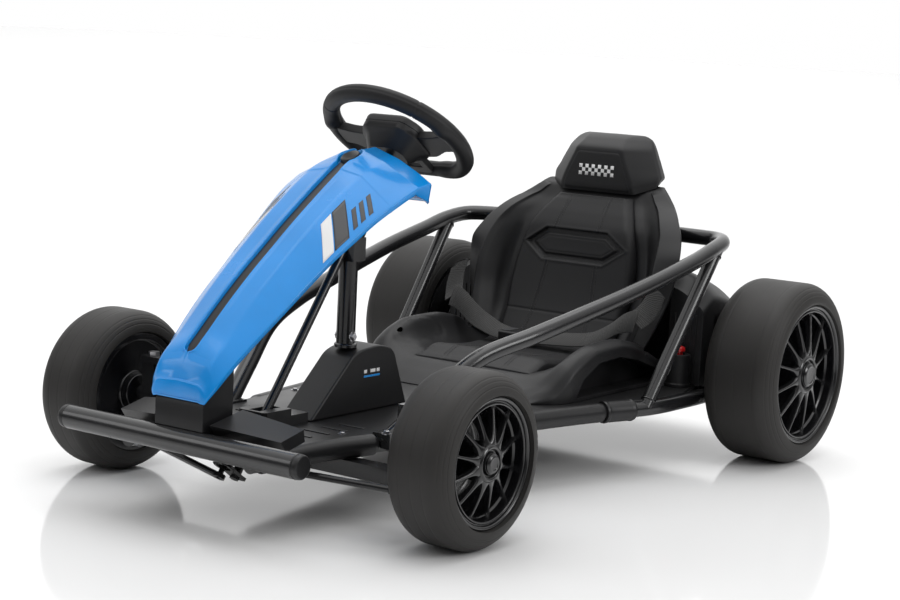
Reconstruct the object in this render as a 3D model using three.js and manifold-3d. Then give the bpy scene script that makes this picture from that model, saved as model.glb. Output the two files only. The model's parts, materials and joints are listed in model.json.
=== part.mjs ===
// A child's electric drift kart: steel tube frame, moulded nose and bucket seat, four wheels.
// Millimetres. +Z is up, the kart's front faces -Y, the driver's left is +X, the ground is z = 0.
import * as THREE from "three";
import { mergeVertices } from "three/addons/utils/BufferGeometryUtils.js";
import Module from "manifold-3d";

const wasm = await Module();
wasm.setup();

// ---- driving dimensions ----
const gap = 0.3; // between pieces that touch
const clearance = 0.6; // round a pin that turns
const wheelSides = 20; // facets of a wheel, one of them flat on the ground

const frontAxleY = -390;
const wheelbase = 851;
const rearAxleY = frontAxleY + wheelbase;
const frontWheel = {
  y: frontAxleY, radius: 121.5, width: 101, outer: 376.4,
  lip: 90, hub: 26, cap: 14, recess: 5, bore: 8, spokeRoot: 20,
};
const rearWheel = {
  y: rearAxleY, radius: 150, width: 129, outer: 417.5,
  lip: 115.5, hub: 32, cap: 19.5, recess: 4.5, bore: 8, spokeRoot: 26,
};
const shoulder = 30; // rounding of a tyre's edge
const flange = 4; // thickness of a rim's flange
const seatDrop = 6; // bead seat below the flange edge
const spokeCount = 12;

const railRadius = 12.5;
const railZ = 104;
const rollRadius = 15.5; // tray edge rolled round the rail
const collarRadius = 17;
const trayTop = 118;
const trayBottom = 113;
const hoopRadius = 13;
const braceRadius = 11.5;
const bumper = { y: -594, z: 121, radius: 17, half: 209, cap: 10 };

const kingpinX = 250;
const kingpinRadius = 5;
const armReach = 50; // steering arm, kingpin to ball
const tieRodZ = 72;
const tieRodRadius = 5;
const stubRadius = 8;

const tilt = THREE.MathUtils.degToRad(54.3); // steering column above the horizontal
const wheelCentre = new THREE.Vector3(0, -142, 523);
const columnRadius = 6.75;
const columnLength = 576.5; // steering wheel plane to pitman arm
const pitmanReach = 30;
const rimCentreRadius = 108.5; // steering wheel, to the middle of its rim
const rimRadius = 13.5;
const rimFlat = 84; // from the centre to the rim's flat bottom

const wall = 4; // moulded covers

// ---- materials ----
const paint = (color, roughness, metalness = 0) =>
  new THREE.MeshStandardMaterial({ color, roughness, metalness });
const tubeBlack = paint(0x17171a, 0.35, 0.6);
const trayBlack = paint(0x1c1c1e, 0.5);
const seatBlack = paint(0x1b1b1d, 0.6);
const padBlack = paint(0x202022, 0.7);
const webbing = paint(0x18181a, 0.85);
const noseBlue = paint(0x1483d8, 0.2);
const rimBlack = paint(0x101012, 0.25);
const tyreBlack = paint(0x1a1918, 0.85);
const steel = paint(0x9a9ca0, 0.35, 1);
const buttonRed = paint(0xd21f24, 0.3);
const batteryGrey = paint(0x3a3c40, 0.6);

// ---- shape helpers: each gives a manifold solid ----
function solid(geometry) {
  const bare = geometry.clone();
  bare.deleteAttribute("normal");
  bare.deleteAttribute("uv");
  const merged = mergeVertices(bare, 1e-4);
  const triVerts = new Uint32Array(merged.index.array);
  const vertProperties = merged.attributes.position.array;
  const made = new wasm.Manifold(new wasm.Mesh({ numProp: 3, vertProperties, triVerts }));
  if (made.volume() > 0) return made;
  for (let i = 0; i < triVerts.length; i += 3) {
    [triVerts[i + 1], triVerts[i + 2]] = [triVerts[i + 2], triVerts[i + 1]];
  }
  return new wasm.Manifold(new wasm.Mesh({ numProp: 3, vertProperties, triVerts }));
}

function geometryOf(body) {
  const mesh = body.getMesh();
  const geometry = new THREE.BufferGeometry();
  geometry.setAttribute("position", new THREE.BufferAttribute(mesh.vertProperties, 3));
  geometry.setIndex(new THREE.BufferAttribute(mesh.triVerts, 1));
  geometry.computeVertexNormals();
  return geometry;
}

const join = (first, ...others) => others.reduce((body, other) => body.add(other), first);
const cut = (first, ...others) => others.reduce((body, other) => body.subtract(other), first);

// A box between two values on each axis, in either order.
function box([xA, xB], [yA, yB], [zA, zB]) {
  const size = [Math.abs(xB - xA), Math.abs(yB - yA), Math.abs(zB - zA)];
  const centre = [(xA + xB) / 2, (yA + yB) / 2, (zA + zB) / 2];
  return solid(new THREE.BoxGeometry(...size).translate(...centre));
}

// A round bar from one point to another.
function rod(from, to, radius, sides = 12, endRadius = radius) {
  const start = new THREE.Vector3(...from);
  const end = new THREE.Vector3(...to);
  const along = end.clone().sub(start);
  const geometry = new THREE.CylinderGeometry(endRadius, radius, along.length(), sides);
  const turn = new THREE.Quaternion().setFromUnitVectors(
    new THREE.Vector3(0, 1, 0),
    along.clone().normalize(),
  );
  return solid(geometry.applyQuaternion(turn).translate(...start.lerp(end, 0.5)));
}

// A round tube along a smooth curve through the points.
function tube(points, radius, steps, sides = 8) {
  const curve = new THREE.CatmullRomCurve3(
    points.map((p) => new THREE.Vector3(...p)), false, "centripetal",
  );
  const ring = [];
  for (let i = 0; i < sides; i++) {
    const angle = (2 * Math.PI * i) / sides;
    ring.push(new THREE.Vector2(radius * Math.cos(angle), radius * Math.sin(angle)));
  }
  return solid(new THREE.ExtrudeGeometry(new THREE.Shape(ring), { steps, extrudePath: curve }));
}

// A flat outline extruded along an axis; the outline's two values are the other two axes in order.
function prism(axis, outline, from, to, bevel = 0) {
  const shape = new THREE.Shape(outline.map(([a, b]) => new THREE.Vector2(a, b)));
  const geometry = new THREE.ExtrudeGeometry(shape, {
    depth: Math.abs(to - from) - 2 * bevel,
    bevelEnabled: bevel > 0,
    bevelSize: bevel,
    bevelThickness: bevel,
    bevelOffset: -bevel,
    bevelSegments: 1,
  });
  geometry.translate(0, 0, Math.min(from, to) + bevel);
  const turns = {
    x: [0, 0, 1, 0, 1, 0, 0, 0, 0, 1, 0, 0, 0, 0, 0, 1],
    y: [1, 0, 0, 0, 0, 0, 1, 0, 0, 1, 0, 0, 0, 0, 0, 1],
  };
  if (turns[axis]) geometry.applyMatrix4(new THREE.Matrix4().set(...turns[axis]));
  return solid(geometry);
}

// An outline of points that goes round an ellipse.
function oval(cx, cy, rx, ry = rx, count = 16) {
  const points = [];
  for (let i = 0; i < count; i++) {
    const angle = (2 * Math.PI * i) / count;
    points.push([cx + rx * Math.cos(angle), cy + ry * Math.sin(angle)]);
  }
  return points;
}

// A closed skin over rings of equal length, with both ends filled.
// flat names the two axes in which an end ring is triangulated.
function loft(rings, flat) {
  const count = rings[0].length;
  const corners = rings.flat();
  const faces = [];
  for (let r = 0; r + 1 < rings.length; r++) {
    for (let i = 0; i < count; i++) {
      const a = r * count + i;
      const b = r * count + ((i + 1) % count);
      faces.push(a, b, b + count, a, b + count, a + count);
    }
  }
  const [u, v] = flat;
  const lid = (ring, offset, direction) => {
    const contour = ring.map((p) => new THREE.Vector2(p[u], p[v]));
    const wanted = direction * Math.sign(THREE.ShapeUtils.area(contour));
    for (const [a, b, c] of THREE.ShapeUtils.triangulateShape(contour, [])) {
      const area = THREE.ShapeUtils.area([contour[a], contour[b], contour[c]]);
      const order = Math.sign(area) === wanted ? [a, b, c] : [a, c, b];
      faces.push(...order.map((i) => i + offset));
    }
  };
  lid(rings[0], 0, -1);
  lid(rings[rings.length - 1], (rings.length - 1) * count, 1);
  const geometry = new THREE.BufferGeometry();
  geometry.setAttribute("position", new THREE.Float32BufferAttribute(corners.flat(), 3));
  geometry.setIndex(faces);
  return solid(geometry);
}

// Right half of a section, mirrored to the left: gives the whole ring.
function mirrored(half) {
  const otherSide = half.filter(([x]) => x > 0).map(([x, ...rest]) => [-x, ...rest]);
  return [...half, ...otherSide.reverse()];
}

// ---- the exported kart ----
const kart = new THREE.Group();
const sides = [["left", 1], ["right", -1]];

function add(name, body, material, parent = kart) {
  const mesh = new THREE.Mesh(geometryOf(body), material);
  mesh.name = name;
  parent.add(mesh);
}

// ---- wheels ----
// A profile of [distance inward from the outer face, radius], turned about the axle.
function turnedWheel(wheel, side, profile) {
  const round = 1 / Math.cos(Math.PI / wheelSides);
  const points = profile.map(
    ([inward, radius]) => new THREE.Vector2(radius * round, side * (wheel.outer - inward)),
  );
  points.push(points[0].clone());
  const geometry = new THREE.LatheGeometry(points, wheelSides, Math.PI / wheelSides);
  geometry.rotateZ(-Math.PI / 2).translate(0, wheel.y, wheel.radius);
  return solid(geometry);
}

function tyre(wheel, side) {
  const { radius, width, lip, recess } = wheel;
  const bead = recess + flange + gap;
  const tread = 9;
  const corner = shoulder * (1 - Math.SQRT1_2);
  const outside = [
    [bead, lip - seatDrop + gap],
    [bead, lip + gap],
    [recess, lip + gap],
    [0, radius - shoulder],
    [corner, radius - corner],
    [shoulder, radius],
  ];
  const inside = [
    [shoulder, radius - tread],
    [bead + tread, lip - seatDrop + gap],
  ];
  const across = ([inward, r]) => [width - inward, r];
  return turnedWheel(wheel, side, [
    ...outside,
    ...outside.slice().reverse().map(across),
    ...inside.slice().reverse().map(across),
    ...inside,
  ]);
}

function rim(wheel, side) {
  const { width, lip, recess, hub, bore, outer, y, radius, spokeRoot } = wheel;
  const seat = lip - seatDrop;
  const barrel = seat - 5;
  const disc = width - 24;
  const discBack = disc + 8;
  const boss = width - 3;
  const body = turnedWheel(wheel, side, [
    [recess, bore + clearance],
    [recess, hub],
    [disc, hub],
    [disc, barrel],
    [recess + flange, barrel],
    [recess, lip],
    [recess + flange, lip],
    [recess + flange, seat],
    [width - recess - flange, seat],
    [width - recess - flange, lip],
    [width - recess, lip],
    [width - recess, barrel],
    [discBack, barrel],
    [boss, hub],
    [boss, bore + clearance],
  ]);
  const depth = 19; // spokes meet the barrel this far behind the lip
  const spokes = [];
  for (let i = 0; i < spokeCount; i++) {
    const angle = (2 * Math.PI * (i + 0.5)) / spokeCount;
    const length = barrel + 2 - spokeRoot;
    const bar = new THREE.BoxGeometry(8, 5, length);
    bar.translate(0, 0, length / 2);
    bar.rotateY(-side * Math.atan2(depth - 6, length));
    bar.translate(side * (outer - recess - 5), 0, spokeRoot);
    bar.rotateX(angle);
    bar.translate(0, y, radius);
    spokes.push(solid(bar));
  }
  return join(body, ...spokes);
}

function hubCap(wheel, side) {
  const face = wheel.outer - wheel.recess + gap;
  const centre = [wheel.y, wheel.radius];
  const edge = [side * (face + 2), ...centre];
  const crown = [side * (face + 4), ...centre];
  const disc = rod([side * face, ...centre], edge, wheel.cap, 16);
  return join(disc, rod(edge, crown, wheel.cap, 16, wheel.cap - 3));
}

for (const [hand, side] of sides) {
  for (const [end, wheel] of [["front", frontWheel], ["rear", rearWheel]]) {
    add(`tyre_${end}_${hand}`, tyre(wheel, side), tyreBlack);
    add(`rim_${end}_${hand}`, rim(wheel, side), rimBlack);
    add(`hub_cap_${end}_${hand}`, hubCap(wheel, side), rimBlack);
  }
}

// ---- frame tubes ----
const railPoints = [
  [112, -577], [123, -423], [139, -355], [199, -14], [230, 108], [262, 209], [268, 300], [268, 396],
];
const rail = (side, radius, steps = 12) =>
  tube(railPoints.map(([x, y]) => [side * x, y, railZ]), radius, steps);
const railCurve = new THREE.CatmullRomCurve3(
  railPoints.map(([x, y]) => new THREE.Vector3(x, y, railZ)), false, "centripetal",
);

// The rail's centre at a place along the kart.
function railAt(y) {
  let low = 0;
  let high = 1;
  for (let i = 0; i < 30; i++) {
    const middle = (low + high) / 2;
    if (railCurve.getPoint(middle).y < y) low = middle;
    else high = middle;
  }
  return railCurve.getPoint(low);
}

// A sleeve round the rail between two places along the kart.
function sleeve(side, yFrom, yTo, radius, steps) {
  const points = [];
  for (let i = 0; i <= steps; i++) {
    const p = railAt(yFrom + ((yTo - yFrom) * i) / steps);
    points.push([side * p.x, p.y, railZ]);
  }
  return tube(points, radius, steps);
}

const bumperBar = (radius, half) =>
  rod([-half, bumper.y, bumper.z], [half, bumper.y, bumper.z], radius, 16);
const bumperSpace = bumperBar(bumper.radius + gap, bumper.half + 2 * bumper.cap);

const hoopSide = [
  [150, -340, 104], [176, -262, 163], [199, -191, 215], [228, -91, 244], [245, 9, 267],
  [260, 109, 290], [270, 209, 313], [273, 309, 335], [272, 365, 349], [262, 412, 357],
  [236, 440, 358], [190, 450, 358],
];
const hoopPoints = [
  ...hoopSide,
  ...hoopSide.slice().reverse().map(([x, y, z]) => [-x, y, z]),
];
const hoop = (radius) => tube(hoopPoints, radius, 44);

const braceTop = [272, 378, 351];
const braceFoot = [260.3, 195, railZ + 4];

for (const [hand, side] of sides) {
  add(`lower_rail_${hand}`, cut(rail(side, railRadius), bumperSpace), tubeBlack);
  const at = ([x, y, z]) => [side * x, y, z];
  const brace = rod(at(braceFoot), at(braceTop), braceRadius);
  const ends = [hoop(hoopRadius + gap), rail(side, railRadius + gap)];
  add(`rear_brace_${hand}`, cut(brace, ...ends), tubeBlack);
  const face = side * (bumper.half + gap);
  const edge = side * (bumper.half + bumper.cap - 3);
  const tip = side * (bumper.half + bumper.cap);
  const centre = [bumper.y, bumper.z];
  const cap = join(
    rod([face, ...centre], [edge, ...centre], bumper.radius, 16),
    rod([edge, ...centre], [tip, ...centre], bumper.radius, 16, bumper.radius - 3),
  );
  add(`bumper_cap_${hand}`, cap, trayBlack);
}
add("front_bumper", bumperBar(bumper.radius, bumper.half), tubeBlack);

// The hoop's two front feet are plates bolted to the rails.
function upperHoop() {
  const feet = sides.map(([, side]) => {
    const plate = box([side * 137, side * 168], [-348, -306], [100, 122]);
    const bolt = rod([side * 153, -318, 120], [side * 153, -318, 127], 5.5, 6);
    return join(plate, bolt);
  });
  const rails = sides.map(([, side]) => rail(side, railRadius + gap));
  return cut(join(hoop(hoopRadius), ...feet), ...rails);
}
add("upper_hoop", upperHoop(), tubeBlack);

// ---- floor tray ----
// Column slot, and where the tray's edges leave the rails bare.
const columnSlot = box([-18, 18], [-472, -398], [trayBottom - 5, 150]);
const bareFront = [-350, -268];
const collarSpan = [112, 168];
const rollFront = -560;

function floorTray() {
  const plateEdge = railPoints.slice(0, 7).map(([x, y]) => [x, y]);
  plateEdge[0] = [112, -574];
  const half = [...plateEdge, [240, 402], [240, 596]];
  const outline = [...half, ...half.slice().reverse().map(([x, y]) => [-x, y])];
  let tray = prism("z", outline, trayBottom, trayTop);
  for (const [, side] of sides) {
    const at = ([x, y, z]) => [side * x, y, z];
    tray = join(
      tray,
      sleeve(side, rollFront, bareFront[0], rollRadius, 4),
      sleeve(side, bareFront[1], collarSpan[0], rollRadius, 4),
      sleeve(side, ...collarSpan, collarRadius, 1),
    );
    const bare = rollRadius + 1;
    tray = cut(
      tray,
      rail(side, railRadius + gap),
      sleeve(side, bareFront[0] - 1, bareFront[1] + 1, bare, 1),
      sleeve(side, collarSpan[1], 396, bare, 4),
      rod(at(braceFoot), at(braceTop), braceRadius + gap),
      box([side * 124, side * 175], [-352, -302], [98, 130]),
    );
  }
  return cut(tray, bumperSpace, columnSlot);
}
add("floor_tray", floorTray(), trayBlack);

// ---- rear carrier, axle and drive ----
const carrierPlate = [244, 250];
const crossTubeZ = trayBottom - gap - railRadius;

function rearCarrier() {
  const crossTube = (y, half) => rod([-half, y, crossTubeZ], [half, y, crossTubeZ], railRadius);
  const plateOutline = [
    [408, 92], [596, 92], [596, 116], [500, 172], [432, 172], [408, 130],
  ];
  const plates = sides.map(([, side]) =>
    prism("x", plateOutline, side * carrierPlate[0], side * carrierPlate[1]));
  const body = join(crossTube(409.5, 281), crossTube(582, 250), ...plates);
  const axleHole = rod([-300, rearAxleY, rearWheel.radius], [300, rearAxleY, rearWheel.radius],
    stubRadius + gap);
  return cut(body, axleHole);
}
add("rear_carrier", rearCarrier(), tubeBlack);

const rearAxleHalf = rearWheel.outer - rearWheel.recess - 6;
add(
  "rear_axle",
  rod([-rearAxleHalf, rearAxleY, rearWheel.radius], [rearAxleHalf, rearAxleY, rearWheel.radius],
    stubRadius),
  steel,
);

const motorCentre = [505, 205];
const motorRadius = 21;
const gearboxFace = [259.5, 285];

function gearMotor(side) {
  const [motorY, motorZ] = motorCentre;
  const axle = oval(rearAxleY, rearWheel.radius, 44);
  const motorEnd = oval(motorY, motorZ, 30);
  const [from, to] = gearboxFace.map((x) => side * x);
  const neck = [[431, 182], [484, 228], [528, 186], [488, 115]];
  const gearbox = join(
    prism("x", axle, from, to), prism("x", motorEnd, from, to), prism("x", neck, from, to),
  );
  const can = rod([side * 200, motorY, motorZ], [side * 262, motorY, motorZ], motorRadius);
  const bore = rod([side * 190, rearAxleY, rearWheel.radius],
    [side * 300, rearAxleY, rearWheel.radius], stubRadius + gap);
  return cut(join(gearbox, can), bore);
}
for (const [hand, side] of sides) add(`gear_motor_${hand}`, gearMotor(side), batteryGrey);

add("battery", box([-76, 76], [472, 567], [trayTop + gap, 212]), batteryGrey);
add("motor_controller", box([60, 170], [408, 446], [trayTop + gap, 150]), batteryGrey);

// ---- rear housing ----
// Stations along the kart: [y, top at the middle, top at the shoulder, top at the side].
const housingStations = [
  [373, 293, 272, 245], [414, 316, 296, 262], [455, 305, 285, 255],
  [512, 283, 262, 232], [570, 228, 205, 185], [604, 160, 150, 140],
];
const housingHalf = 258;
const housingShoulder = 218;

function housingRing([y, top, high, low], inset, floorZ) {
  return mirrored([
    [0, y, top - inset],
    [150, y, top - inset],
    [housingShoulder, y, high - inset],
    [housingHalf - inset, y, low - inset],
    [housingHalf - inset, y, floorZ],
  ]);
}

function rearHousing() {
  const outside = loft(housingStations.map((s) => housingRing(s, 0, trayTop + gap)), [0, 2]);
  const inner = housingStations.map((s) => [...s]);
  inner[0] = [402 + wall, 312, 292, 260];
  inner[inner.length - 1][0] -= wall;
  const inside = loft(inner.map((s) => housingRing(s, wall, trayBottom - wall)), [0, 2]);
  const niche = box([-195, 195], [360, 402], [100, 330]); // room for the seat's back
  const notches = sides.map(([, side]) =>
    box([side * 240, side * 262], [410, 540], [100, 238]));
  return cut(outside, inside, niche, ...notches);
}
add("rear_housing", rearHousing(), seatBlack);

// ---- stop button on its post ----
const post = { x: 229, y: 350, radius: 20, top: 172 };
const button = { radius: 10.5, stem: 7, bottom: 176.5, top: 186 };

function buttonPost() {
  const at = (z) => [post.x, post.y, z];
  const base = rod(at(trayTop + gap), at(124), post.radius + 2, 16);
  const column = rod(at(122), at(post.top), post.radius, 16);
  const bore = rod(at(155), at(post.top + 5), button.stem + clearance, 16);
  return cut(join(base, column), bore);
}
function stopButton() {
  const at = (z) => [post.x, post.y, z];
  const stem = rod(at(162), at(button.bottom + 1), button.stem, 16);
  const dome = rod(at(button.bottom), at(button.top - 4), button.radius, 16);
  const crown = rod(at(button.top - 4), at(button.top), button.radius, 16, button.radius - 4);
  return join(stem, dome, crown);
}
add("button_post", buttonPost(), seatBlack);
add("stop_button", stopButton(), buttonRed);

// ---- front axle and knuckles ----
const axleZ = frontWheel.radius;
const beam = { half: 222, front: -404, back: -376, bottom: 66, top: 88 };
const yoke = { plate: 232, reach: 264, bottom: 76, lid: [171, 181] };

function frontAxleBeam() {
  const depth = [beam.front, beam.back];
  let body = box([-beam.half, beam.half], depth, [beam.bottom, beam.top]);
  for (const [, side] of sides) {
    body = join(
      body,
      box([side * beam.half, side * yoke.plate], depth, [beam.bottom, yoke.lid[1]]),
      box([side * (yoke.plate - 1), side * yoke.reach], depth, [beam.bottom, yoke.bottom]),
      box([side * (yoke.plate - 1), side * yoke.reach], depth, yoke.lid),
    );
    const hole = [side * kingpinX, frontAxleY];
    body = cut(body, rod([...hole, 50], [...hole, 200], kingpinRadius + clearance));
  }
  return body;
}
add("front_axle_beam", frontAxleBeam(), tubeBlack);

function kingpin(side) {
  const at = (z) => [side * kingpinX, frontAxleY, z];
  return join(
    rod(at(beam.bottom - 7), at(yoke.lid[1] + 1), kingpinRadius),
    rod(at(yoke.lid[1] + gap), at(yoke.lid[1] + 6), 8.5, 6),
    rod(at(beam.bottom - 7), at(beam.bottom - gap), 8.5, 6),
  );
}

function knuckle(side) {
  const block = [yoke.bottom + 1, yoke.lid[0] - 1];
  const arm = [block[0], block[0] + 8];
  const ballY = frontAxleY - armReach;
  const x = side * kingpinX;
  const stubEnd = side * (frontWheel.outer - frontWheel.recess - 6);
  const body = join(
    box([x - 12, x + 12], [frontAxleY - 12, frontAxleY + 12], block),
    box([x - 8, x + 8], [frontAxleY, ballY], arm),
    rod([x, ballY, arm[0]], [x, ballY, arm[1]], 8),
    rod([x, frontAxleY, axleZ], [stubEnd, frontAxleY, axleZ], stubRadius),
    rod([x, frontAxleY, axleZ], [side * 272, frontAxleY, axleZ], 13),
  );
  return cut(
    body,
    rod([x, frontAxleY, 50], [x, frontAxleY, 200], kingpinRadius + clearance),
    rod([x, ballY, 50], [x, ballY, 100], 4 + clearance),
  );
}

// ---- steering ----
// This group's plane is the steering wheel's: its Z runs up the column, its Y towards the driver.
const steering = new THREE.Group();
steering.position.copy(wheelCentre);
steering.rotation.x = tilt - Math.PI / 2;
kart.add(steering);
const columnAxis = new THREE.Vector3(0, Math.cos(tilt), Math.sin(tilt));
const wheelDown = new THREE.Vector3(0, Math.sin(tilt), -Math.cos(tilt));
const onColumn = (below) => wheelCentre.clone().addScaledVector(columnAxis, -below);

function steeringRim() {
  const points = [];
  for (let degrees = 90; degrees >= -34; degrees -= 15.5) {
    const angle = THREE.MathUtils.degToRad(degrees);
    points.push([rimCentreRadius * Math.cos(angle), -rimCentreRadius * Math.sin(angle), 0]);
  }
  points.push([66, rimFlat - 3, 0], [38, rimFlat, 0], [-2, rimFlat, 0]);
  points[0] = [-2, -rimCentreRadius, 0];
  const halves = sides.map(([, side]) =>
    tube(points.map(([x, y, z]) => [side * x, y, z]), rimRadius, 16));
  const spokeOutline = [[44, -8], [102, -24], [104, 12], [44, 30]];
  const spokes = sides.map(([, side]) =>
    prism("z", spokeOutline.map(([x, y]) => [side * x, y]), -11, 3));
  const lower = box([-24, 24], [40, rimFlat], [-12, 0]);
  const slot = box([-13, 13], [56, 66], [-20, 20]);
  const seatForHub = box([-50, 50], [-45, 44], [-50, 20]);
  return cut(join(...halves, ...spokes, lower), slot, seatForHub);
}

function steeringHub() {
  const edge = 50 - gap;
  const face = [
    [-edge, -20], [-34, -44], [34, -44], [edge, -20],
    [edge, 30], [30, 44 - gap], [-30, 44 - gap], [-edge, 30],
  ];
  const upper = prism("z", face, -14, 10, 3);
  const lower = loft([
    oval(0, 0, 34, 30).map(([x, y]) => [x, y, -38]),
    oval(0, 0, 46, 40).map(([x, y]) => [x, y, -13]),
  ], [0, 1]);
  return cut(join(upper, lower), rod([0, 0, -60], [0, 0, -8], columnRadius + gap));
}

function steeringColumn() {
  const shaft = rod([0, 0, -columnLength - 6], [0, 0, -9], columnRadius);
  const from = -columnLength - 2.5;
  const to = -columnLength + 2.5;
  const plate = [[-11, 11], [11, 11], [12, -22], [-12, -22]];
  const arm = join(
    prism("z", plate, from, to),
    prism("z", oval(0, -pitmanReach, 16), from, to),
  );
  return join(shaft, cut(arm, prism("z", oval(0, -pitmanReach, 11), from - 1, to + 1)));
}
add("steering_wheel", steeringRim(), seatBlack, steering);
add("steering_hub", steeringHub(), seatBlack, steering);
add("steering_column", steeringColumn(), tubeBlack, steering);

// The rod's inner end stands in the pitman arm's ring: the left one from above, the right from below.
function tieRod(side) {
  const ballY = frontAxleY - armReach;
  const outer = [side * kingpinX, ballY];
  const eye = rod([...outer, tieRodZ - 4], [...outer, tieRodZ + 4], 9);
  const stud = rod([...outer, tieRodZ], [...outer, tieRodZ + 16], 4);
  const ring = onColumn(columnLength).addScaledVector(wheelDown, -pitmanReach);
  const along = (distance) => ring.clone().addScaledVector(columnAxis, side * distance).toArray();
  const reach = side > 0 ? 9 : 16;
  const innerEye = rod(along(reach - 3), along(reach + 3), 9);
  const innerStud = rod(along(0.5), along(reach), 4);
  const bar = rod([side * (kingpinX - 7), ballY, tieRodZ], along(reach), tieRodRadius);
  return join(eye, stud, innerEye, innerStud, bar);
}
for (const [hand, side] of sides) {
  add(`kingpin_${hand}`, kingpin(side), steel);
  add(`knuckle_${hand}`, knuckle(side), tubeBlack);
  add(`tie_rod_${hand}`, tieRod(side), steel);
}

// ---- column supports ----
function columnBracket() {
  const outline = [[-26, -446], [-20, -450], [20, -450], [26, -446], [26, -357], [-26, -357]];
  const block = prism("z", outline, trayTop + gap, 143);
  const slot = prism("z", [[-10, -444], [10, -444], [10, -400], [-10, -400]], 100, 160);
  return cut(block, slot, box([-40, 40], [-394, -350], [133, 160]));
}
add("column_bracket", columnBracket(), trayBlack);

const pedestalHalf = 29;
function pedestal() {
  const outline = [
    [-355, trayTop + gap], [-262, 205], [-243, 212], [-200, 216], [-165, 207],
    [-135, 135], [-128, trayTop + gap],
  ];
  return prism("x", outline, -pedestalHalf, pedestalHalf, 3);
}
add("pedestal", pedestal(), seatBlack);

const postTop = 342;
const postRadius = 14;
const footZ = 213.8; // the pedestal's top under the post's foot
const bearing = onColumn(179.5); // where the column's clamp sits above the post
function steeringPost() {
  const at = (z) => [0, bearing.y, z];
  return join(rod(at(footZ), at(footZ + 5), 17), rod(at(footZ), at(postTop), postRadius));
}
add("steering_post", steeringPost(), tubeBlack);

function columnBearing() {
  const half = 20;
  const clamp = rod(onColumn(179.5 + 16).toArray(), onColumn(179.5 - 16).toArray(), half, 16);
  const saddle = box([-half, half], [bearing.y - 14, bearing.y + 14], [postTop + gap, bearing.z]);
  const tabs = sides.map(([, side]) =>
    box([side * 14, side * 19], [-264, -244], [bearing.z, 462]));
  const bore = rod(onColumn(250).toArray(), onColumn(80).toArray(), columnRadius + clearance, 16);
  return cut(join(clamp, saddle, ...tabs), bore);
}
add("column_bearing", columnBearing(), tubeBlack);

// ---- nose ----
// Stations along the nose: [y, top, crease x, crease z, edge x, edge z].
const noseStations = [
  [-597, 206, 42, 203, 50, 176], [-588, 232, 46, 226, 56, 189], [-551, 271, 45, 260, 65, 227],
  [-511, 308, 44, 300, 73, 262], [-471, 342, 44, 337, 79, 294], [-431, 373, 44, 371, 83, 324],
  [-391, 404, 45, 403, 88, 354], [-351, 433, 46, 432, 94, 381], [-311, 461, 48, 458, 101, 408],
  [-271, 487, 49, 479, 109, 431], [-235.3, 503, 48, 490, 113, 448],
];
const grooveHalf = 9;
const grooveDepth = 7;

function noseRing([y, top, creaseX, creaseZ, edgeX, edgeZ]) {
  const lip = grooveHalf + 2;
  const bevel = 10; // narrow band above the lower edge
  return mirrored([
    [0, y, top - grooveDepth], [grooveHalf, y, top - grooveDepth], [lip, y, top],
    [creaseX, y, creaseZ], [edgeX + 1, y, edgeZ + bevel], [edgeX - 2, y, edgeZ],
    [0, y, edgeZ],
  ]);
}
function noseHollow([y, top, creaseX, creaseZ, edgeX, edgeZ]) {
  const roof = top - grooveDepth - wall;
  return mirrored([
    [0, y, roof], [creaseX - 6, y, Math.min(creaseZ - wall, roof) - 1],
    [edgeX - wall - 2, y, edgeZ + 10], [edgeX - wall - 3, y, edgeZ - 40], [0, y, edgeZ - 40],
  ]);
}
function noseCowl() {
  const inner = noseStations.map((s) => [...s]);
  inner[0] = [-592, 219, 44, 214, 53, 183];
  inner[inner.length - 1][0] += 5;
  return cut(loft(noseStations.map(noseRing), [0, 2]), loft(inner.map(noseHollow), [0, 2]));
}
add("nose_cowl", noseCowl(), noseBlue);

function noseStripe() {
  const thickness = 3;
  const rings = noseStations.slice(1, 9).map(([y, top]) => {
    const floor = top - grooveDepth + gap;
    const half = grooveHalf - 0.5;
    const lid = floor + thickness;
    return [[-half, y, floor], [half, y, floor], [half, y, lid], [-half, y, lid]];
  });
  return loft(rings, [0, 2]);
}
add("nose_stripe", noseStripe(), trayBlack);

function noseCap() {
  const slope = Math.atan2(503 - 487, 271 - 235.3);
  const geometry = new THREE.ExtrudeGeometry(
    new THREE.Shape(oval(0, 0, 13, 17, 20).map(([x, y]) => new THREE.Vector2(x, y))),
    { depth: 5, bevelEnabled: false },
  );
  return solid(geometry.rotateX(slope).translate(0, -254, 495.2));
}
add("nose_cap", noseCap(), trayBlack);

function noseCollar() {
  const ring = (y, top, crease, middle, corner, lower) => mirrored([
    [0, y, top], [crease[0], y, crease[1]], [middle[0], y, middle[1]], [corner[0], y, corner[1]],
    [lower[0], y, lower[1]],
  ]);
  const front = [503, [48, 490], [82, 472], [112, 457], [110, 446]];
  const back = [508, [44, 494], [80, 477], [105, 463], [100, 433]];
  const inset = ([top, ...points]) => [top - wall, ...points.map(([x, z]) => [x - wall, z - wall])];
  const outside = loft([ring(-235, ...front), ring(-190, ...back)], [0, 2]);
  const inside = [ring(-240, ...inset(front)), ring(-185, ...inset(back))];
  for (const hollow of inside) for (const p of [hollow[4], hollow[5]]) p[2] -= 3 * wall;
  return cut(outside, loft(inside, [0, 2]));
}
add("nose_collar", noseCollar(), noseBlue);

// The box under the nose's tip stands on the tray and over the bumper.
function noseSupport() {
  const outline = [
    [-596, 122], [-596, 172], [-588, 186], [-551, 223], [-537, 234], [-537, trayTop + gap],
    [-576, trayTop + gap],
  ];
  return cut(prism("x", outline, -44, 44, 3), bumperSpace);
}
add("nose_support", noseSupport(), trayBlack);

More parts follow.
